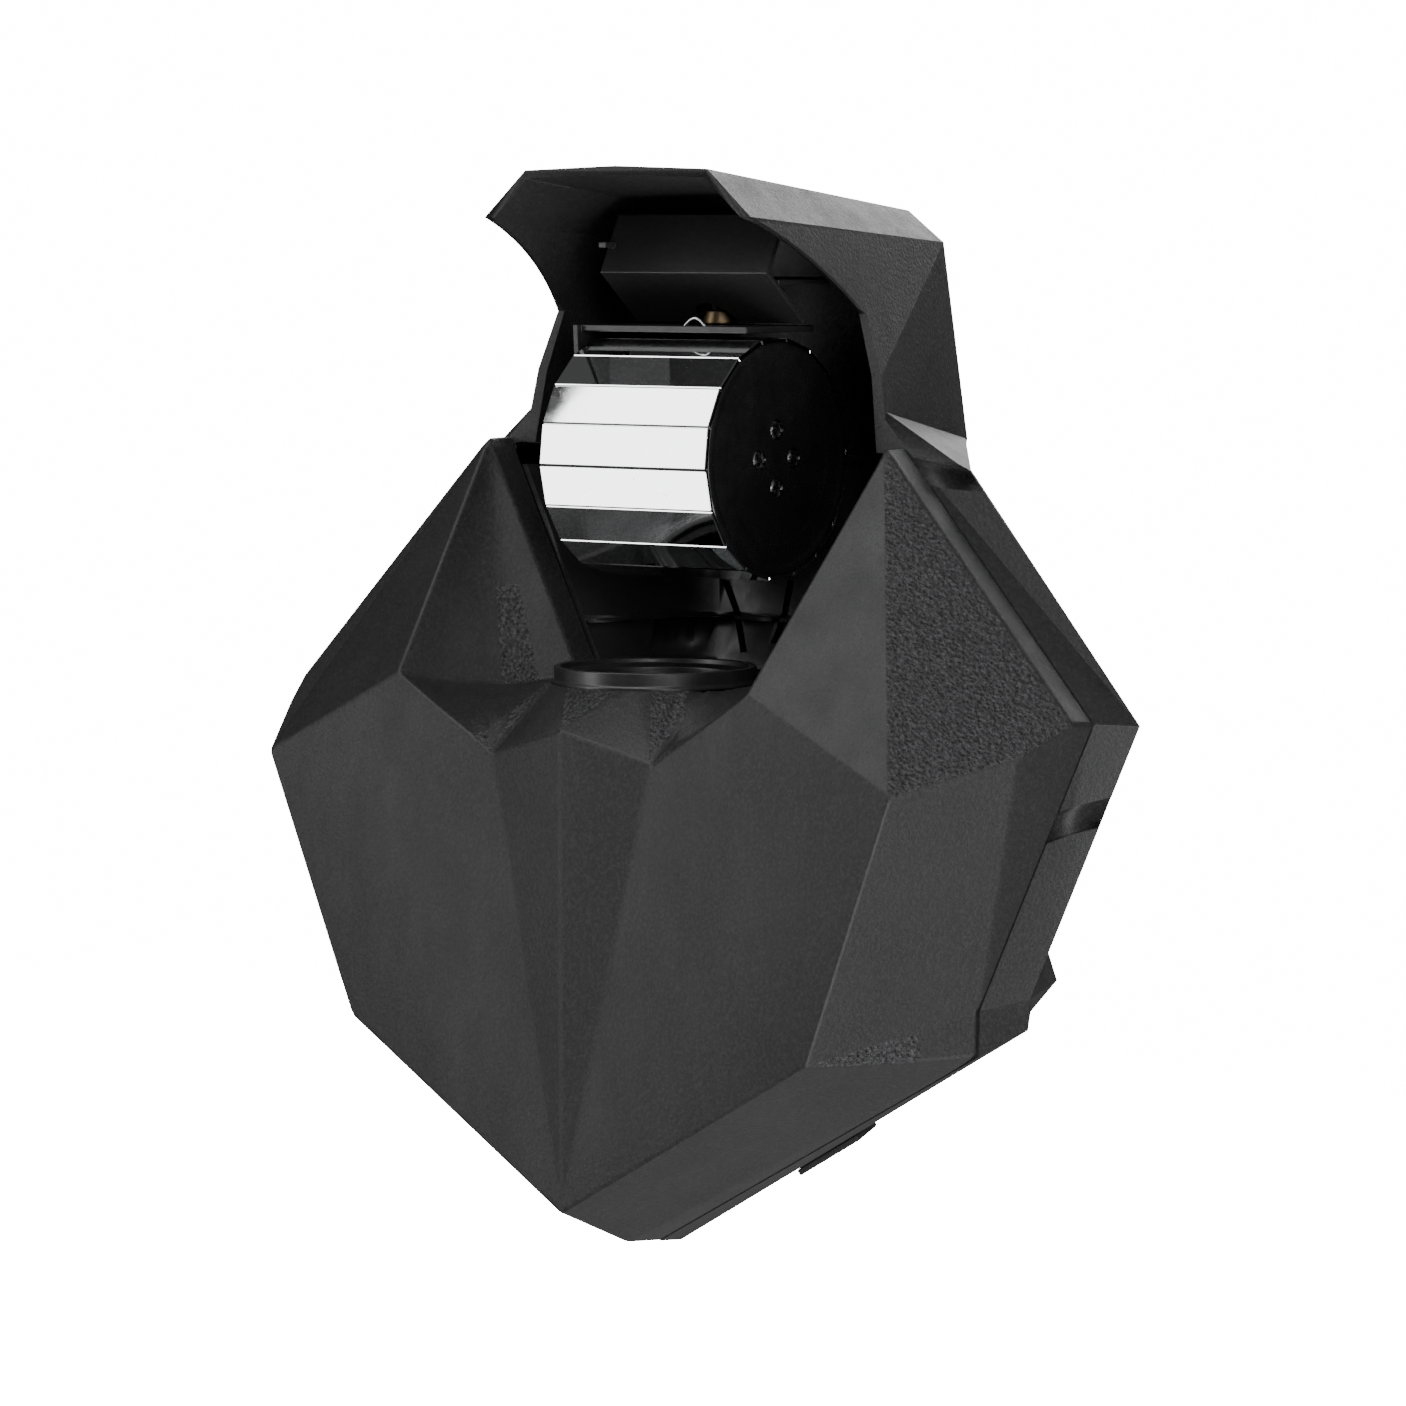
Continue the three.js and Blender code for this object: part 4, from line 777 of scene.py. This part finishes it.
def build_fuse_knob(plastic):
    """The fuse cap: a turned knob with a ribbed grip and a slot for a driver."""
    low, high, middle = corners("fuse_cap")
    grip, stem = (high[0] - low[0]) / 2, (high[0] - low[0]) / 2 - 1.6 * MM
    shoulder, top_edge = high[1] - 4.6 * MM, 0.7 * grip
    slot_half, slot_deep, rib = 0.7 * MM, 1.4 * MM, 0.12 * MM
    shape = np.array([
        [0, low[1]], [stem, low[1]], [stem, shoulder], [grip, shoulder], [grip, high[1]],
        [top_edge, high[1]], [0, high[1]]])

    def ribs_and_slot(radius, height, around):
        """Ribs on the grip, as a cosine of thirty-six per turn, and a driver slot across the top."""
        ribbed = radius + rib * np.cos(36 * around) * (radius > 0.97 * grip)
        near = np.abs(radius * np.sin(around)) < slot_half
        top = height > high[1] - 0.05 * MM
        inside = radius < 0.8 * grip
        return np.minimum(ribbed, grip), height - slot_deep * (near & top & inside)

    side = rounded(shape, 0.7 * MM, 6)
    side = side[side[:, 0] > top_edge - 1e-9][1:]
    steps = np.linspace(top_edge, 0, 22)
    flat_top = np.stack([steps, np.full_like(steps, high[1])], axis=-1)
    profile = np.concatenate([[[0, low[1]], [stem - 0.5 * MM, low[1]]], side, flat_top])
    knob = turned("fuse_knob", profile, "y", (middle[0], 0, middle[2]), 180, ribs_and_slot)
    keep(link("fuse_knob", knob), "fuse_cap", [plastic])


def build_eye():
    """The safety eye: a ring whose round wire is carried round a circle, on a turned stud with a flange."""
    low, high, middle = corners("safety_eye")
    ring_radius, wire = 6 * MM, 1.6 * MM
    around_ring, around_wire = 64, 20
    centre_y = high[1] - ring_radius - wire
    angle = np.linspace(0, 2 * math.pi, around_ring, endpoint=False)[:, None]
    round_wire = np.linspace(0, 2 * math.pi, around_wire, endpoint=False)[None, :]
    out = ring_radius + wire * np.cos(round_wire)
    ring = np.stack([middle[0] + wire * np.sin(round_wire) + 0 * angle,
                     centre_y + out * np.cos(angle), middle[2] + out * np.sin(angle)], axis=-1)
    eye = link("cable_eye", mesh_from("cable_eye", ring, grid_quads(around_ring, around_wire, True, True)))
    foot, shaft, flange = low[1] + 8 * MM, 3 * MM, 6.5 * MM
    stud = rounded([[0, low[1]], [shaft, low[1]], [shaft, foot + 0.3 * MM], [flange, foot + 0.3 * MM],
                    [flange, foot + 2 * MM], [3.2 * MM, foot + 2.3 * MM], [0, foot + 2.6 * MM]], 0.5 * MM)
    base = link("cable_eye_stud", turned("cable_eye_stud", stud, "y", (middle[0], 0, middle[2]), 64))
    keep(eye, "safety_eye", [bare_steel()])
    add(base, "safety_eye", bare_steel())


def build_rear(settings):
    """The steel rear panel and everything fitted in it."""
    steel, plastic = coated_steel(settings), fine_plastic(settings)
    panel = softened("back_panel", "rear_panel", 0.25 * MM, 30.0, 1.5, 2)
    keep(panel, "rear_panel", [steel])
    for node in ("power_inlet", "power_outlet", "signal_inlet", "signal_outlet", "fuse_holder"):
        piece = softened(f"{node}_body", node, 0.35 * MM, 30.0, 1.2, 2)
        keep(piece, node, [plastic])
    build_keys(plastic)
    for number in range(1, 7):
        node = f"panel_screw_{number}"
        _, high, _ = corners(node)
        screw = pan_screw(f"back_screw_{number}", node, "y", HEAD_RADIUS, high[1] - 1.85 * MM, high[1], 72)
        keep(screw, node, [dark_screw()])
    build_fuse_knob(plastic)
    build_eye()


def build_bracket(settings):
    """The hanging bracket, the ears and the two clamping knobs."""
    steel = coated_steel(settings)
    for name, node in (("u_bracket", "hanging_bracket"), ("ear_left", "bracket_ear_left"),
                       ("ear_right", "bracket_ear_right")):
        piece = softened(name, node, 0.5 * MM, 20.0, 1.2)
        keep(piece, node, [steel])
    for side, sign in (("left", -1), ("right", 1)):
        node = f"clamp_knob_{side}"
        low, high, middle = corners(node)
        inner, outer = (low[0], high[0]) if sign > 0 else (-high[0], -low[0])
        grip = (high[1] - low[1]) / 2
        face = outer - 11.7 * MM
        shape = np.array([
            [0, inner], [3.9 * MM, inner], [3.9 * MM, face], [8 * MM, face], [8 * MM, face + 3.7 * MM],
            [grip, face + 3.7 * MM], [grip, outer], [0.62 * grip, outer], [0.55 * grip, outer - 0.8 * MM],
            [0, outer - 0.8 * MM]])

        def lobes(radius, height, around):
            """Six finger hollows: the grip's radius falls by a raised cosine of six per turn."""
            hollow = np.clip((radius - 0.66 * grip) / (0.34 * grip), 0, 1)
            return radius - 2.6 * MM * hollow * (0.5 + 0.5 * np.cos(6 * around)), height

        mesh = turned(f"knob_{side}", rounded(shape, 1.0 * MM, 5), "x", (0, middle[1], middle[2]), 144, lobes)
        if sign < 0:
            mesh.transform(Matrix.Scale(-1, 4, (1, 0, 0)))
            mesh.flip_normals()
        keep(link(f"knob_{side}", mesh), node, [fine_plastic(settings)])


# --------------------------------------------------------------------------------------------------- stage

VIEW = {"azimuth": 36.87, "elevation": 5.18, "distance": 1.5305, "target": (0.0191, -0.1400, 0.0),
        "lens": 133.24}

MIDDLE = (0, -0.12, 0)
# Soft boxes: name, place, aim, width and height, power in watts, and whether matt surfaces see it.
SOFT_BOXES = (
    ("soft_box_low", (0.95, -0.60, -0.90), MIDDLE, (0.8, 0.8), 13.0, True),
    ("soft_box_right", (1.3, -0.75, -0.1), MIDDLE, (0.5, 1.2), 7.0, True),
    ("strip_upper_right", (0.95, -1.15, 0.6), MIDDLE, (0.25, 0.8), 5.0, True),
    ("soft_box_left", (-0.77, -1.04, 0.45), (0, -0.12, 0.07), (0.42, 2.3), 13.5, False),
    ("soft_box_top", (0.1, -0.9, 1.5), MIDDLE, (1.0, 0.6), 14.0, True),
    ("soft_box_back", (-0.2, 1.4, 0.9), MIDDLE, (1.2, 0.8), 16.0, True))

FLOOR_HALF = 6.0
FLOOR_DROP = 1.1  # below the light, so that the floor hides none of the soft boxes
FLOOR_GLOW = 40.0  # only the camera sees the glow of the floor and of the sky, which makes both white
SKY_GLOW = 16.0
FILL = 0.06


def add_floor():
    """A flat pale floor with a faint mottle."""
    grid = np.linspace(-FLOOR_HALF, FLOOR_HALF, 13)
    across, along = np.meshgrid(grid, grid, indexing="ij")
    height = np.full_like(across, CAD_BOX[0][2] - FLOOR_DROP)
    points = np.stack([across, along, height], axis=-1)
    floor = link("floor", mesh_from("floor", points, grid_quads(13, 13)))
    mix = Recipe("pale_floor")
    mottle = mix.noise(0.25, 3.0)
    tone = mix.blend(mix.ramp(mottle, 0, 1), (0.84, 0.84, 0.84, 1.0), (0.90, 0.90, 0.90, 1.0))
    seen = mix.tree.nodes.new("ShaderNodeLightPath").outputs["Is Camera Ray"]
    mix.feed(mix.shader.inputs["Emission Color"], tone)
    mix.feed(mix.shader.inputs["Emission Strength"], mix.maths("MULTIPLY", seen, FLOOR_GLOW))
    floor.data.materials.append(mix.finish(colour=tone, rough=0.8))


def add_camera():
    """The camera, placed by its two angles and its distance from the target."""
    azimuth, elevation = math.radians(VIEW["azimuth"]), math.radians(VIEW["elevation"])
    back = Vector((math.sin(azimuth) * math.cos(elevation), -math.cos(azimuth) * math.cos(elevation),
                   math.sin(elevation)))
    camera_data = bpy.data.cameras.new("camera")
    camera_data.lens = VIEW["lens"]
    camera_data.sensor_width = 36.0
    camera_data.clip_start = 0.01
    camera = bpy.data.objects.new("camera", camera_data)
    camera.location = Vector(VIEW["target"]) + back * VIEW["distance"]
    camera.rotation_euler = back.to_track_quat("Z", "Y").to_euler()
    bpy.context.scene.collection.objects.link(camera)
    bpy.context.scene.camera = camera


def add_soft_box(name, place, aim, size, power, matt):
    """A rectangular area light at a place, looking at a point."""
    light = bpy.data.lights.new(name, "AREA")
    light.shape = "RECTANGLE"
    light.size, light.size_y = size
    light.energy = power
    lamp = bpy.data.objects.new(name, light)
    lamp.location = place
    lamp.rotation_euler = (Vector(aim) - Vector(place)).to_track_quat("-Z", "Y").to_euler()
    lamp.visible_diffuse = matt
    bpy.context.scene.collection.objects.link(lamp)


def add_sky(fill):
    """A white world for the camera, and a faint one for everything else."""
    world = bpy.data.worlds.new("pale_world")
    world.use_nodes = True
    bpy.context.scene.world = world
    tree = world.node_tree
    sky = tree.nodes["Background"]
    dim = tree.nodes.new("ShaderNodeBackground")
    for background, strength in ((sky, SKY_GLOW), (dim, fill)):
        background.inputs["Color"].default_value = (1, 1, 1, 1)
        background.inputs["Strength"].default_value = strength
    path = tree.nodes.new("ShaderNodeLightPath")
    choose = tree.nodes.new("ShaderNodeMixShader")
    tree.links.new(path.outputs["Is Camera Ray"], choose.inputs[0])
    tree.links.new(dim.outputs[0], choose.inputs[1])
    tree.links.new(sky.outputs[0], choose.inputs[2])
    tree.links.new(choose.outputs[0], tree.nodes["World Output"].inputs["Surface"])


def build_stage(settings):
    """Floor, camera, soft boxes and a pale world."""
    add_floor()
    add_camera()
    for name, place, aim, size, power, matt in SOFT_BOXES:
        add_soft_box(name, place, aim, size, power * settings.light, matt)
    add_sky(FILL * settings.light)


# -------------------------------------------------------------------------------------------------- add-on


class BarrelLightSettings(bpy.types.PropertyGroup):
    """Sizes and colours that a user may change before the pieces are built."""

    edge: bpy.props.FloatProperty(
        name="Edge rounding", description="Rounding of the shells' facet edges", default=1.2 * MM,
        min=0.1 * MM, max=2 * MM, subtype="DISTANCE", unit="LENGTH", precision=5)
    seam: bpy.props.FloatProperty(
        name="Mirror seam", description="Gap between two mirror strips", default=0.35 * MM,
        min=0.1 * MM, max=1 * MM, subtype="DISTANCE", unit="LENGTH", precision=5)
    grain: bpy.props.FloatProperty(
        name="Grain depth", description="Depth of the moulded grain, as a share of the usual depth",
        default=1.0, min=0.0, max=3.0, subtype="FACTOR")
    light: bpy.props.FloatProperty(
        name="Light", description="Strength of the studio light", default=1.0, min=0.1, max=5.0,
        subtype="FACTOR")
    plastic: bpy.props.FloatVectorProperty(
        name="Plastic", description="Colour of the shells", default=(0.022, 0.022, 0.023), size=3,
        min=0.0, max=1.0, subtype="COLOR")
    coat: bpy.props.FloatVectorProperty(
        name="Powder coat", description="Colour of the coated steel", default=(0.022, 0.022, 0.023), size=3,
        min=0.0, max=1.0, subtype="COLOR")
    mirror: bpy.props.FloatVectorProperty(
        name="Mirror", description="Tint of the mirror strips", default=(0.93, 0.94, 0.945), size=3,
        min=0.0, max=1.0, subtype="COLOR")


def finished(build, context):
    """Builds one group with the scene's settings. An error in it stops the operator, and so the script."""
    build(context.scene.barrel_light)
    return {"FINISHED"}


class BARREL_OT_shells(bpy.types.Operator):
    """Build the two shells, the bay's liner and the pads"""

    bl_idname = "barrel.shells"
    bl_label = "Shells"
    bl_options = {"REGISTER", "UNDO"}

    def execute(self, context):
        return finished(build_shells, context)


class BARREL_OT_collar(bpy.types.Operator):
    """Build the collar and the lenses"""

    bl_idname = "barrel.collar"
    bl_label = "Collar and lenses"
    bl_options = {"REGISTER", "UNDO"}

    def execute(self, context):
        return finished(build_collar, context)


class BARREL_OT_mirrors(bpy.types.Operator):
    """Build the drum's mirror strips"""

    bl_idname = "barrel.mirrors"
    bl_label = "Mirror strips"
    bl_options = {"REGISTER", "UNDO"}

    def execute(self, context):
        return finished(build_mirrors, context)


class BARREL_OT_drum(bpy.types.Operator):
    """Build the drum's body, end disc and screws"""

    bl_idname = "barrel.drum"
    bl_label = "Drum"
    bl_options = {"REGISTER", "UNDO"}

    def execute(self, context):
        return finished(build_drum, context)


class BARREL_OT_yoke(bpy.types.Operator):
    """Build the yoke, the guard and the motors"""

    bl_idname = "barrel.yoke"
    bl_label = "Yoke, guard and motors"
    bl_options = {"REGISTER", "UNDO"}

    def execute(self, context):
        return finished(build_yoke, context)


class BARREL_OT_optics(bpy.types.Operator):
    """Finish the wheels, plates and heat sink"""

    bl_idname = "barrel.optics"
    bl_label = "Optics"
    bl_options = {"REGISTER", "UNDO"}

    def execute(self, context):
        return finished(build_optics, context)


class BARREL_OT_electronics(bpy.types.Operator):
    """Finish the fan, the supply, the boards and the display"""

    bl_idname = "barrel.electronics"
    bl_label = "Electronics"
    bl_options = {"REGISTER", "UNDO"}

    def execute(self, context):
        return finished(build_electronics, context)


class BARREL_OT_rear(bpy.types.Operator):
    """Build the rear panel and its fittings"""

    bl_idname = "barrel.rear"
    bl_label = "Rear panel"
    bl_options = {"REGISTER", "UNDO"}

    def execute(self, context):
        return finished(build_rear, context)


class BARREL_OT_bracket(bpy.types.Operator):
    """Build the bracket, the ears and the knobs"""

    bl_idname = "barrel.bracket"
    bl_label = "Bracket and knobs"
    bl_options = {"REGISTER", "UNDO"}

    def execute(self, context):
        return finished(build_bracket, context)


class BARREL_OT_stage(bpy.types.Operator):
    """Set up the floor, the lights and the camera"""

    bl_idname = "barrel.stage"
    bl_label = "Stage"
    bl_options = {"REGISTER", "UNDO"}

    def execute(self, context):
        return finished(build_stage, context)


OPERATORS = (
    BARREL_OT_stage, BARREL_OT_shells, BARREL_OT_collar, BARREL_OT_mirrors, BARREL_OT_drum, BARREL_OT_yoke,
    BARREL_OT_optics, BARREL_OT_electronics, BARREL_OT_rear, BARREL_OT_bracket)


class BARREL_PT_panel(bpy.types.Panel):
    """Settings and build buttons in the 3D view's sidebar"""

    bl_idname = "BARREL_PT_panel"
    bl_label = "Barrel scanner light"
    bl_space_type = "VIEW_3D"
    bl_region_type = "UI"
    bl_category = "Barrel Light"

    def draw(self, context):
        """Lists the settings, then a button for each operator."""
        settings = context.scene.barrel_light
        for name in ("edge", "seam", "grain", "light", "plastic", "coat", "mirror"):
            self.layout.prop(settings, name)
        for operator in OPERATORS:
            self.layout.operator(operator.bl_idname)


CLASSES = (BarrelLightSettings, *OPERATORS, BARREL_PT_panel)


def register():
    """Registers the classes and gives the scene its settings."""
    for cls in CLASSES:
        bpy.utils.register_class(cls)
    bpy.types.Scene.barrel_light = bpy.props.PointerProperty(type=BarrelLightSettings)


def unregister():
    """Takes back what register did."""
    del bpy.types.Scene.barrel_light
    for cls in reversed(CLASSES):
        bpy.utils.unregister_class(cls)


def main():
    """Builds everything in order."""
    register()
    for operator in OPERATORS:
        name = operator.bl_idname.removeprefix("barrel.")
        getattr(bpy.ops.barrel, name)()


if __name__ == "__main__":
    main()
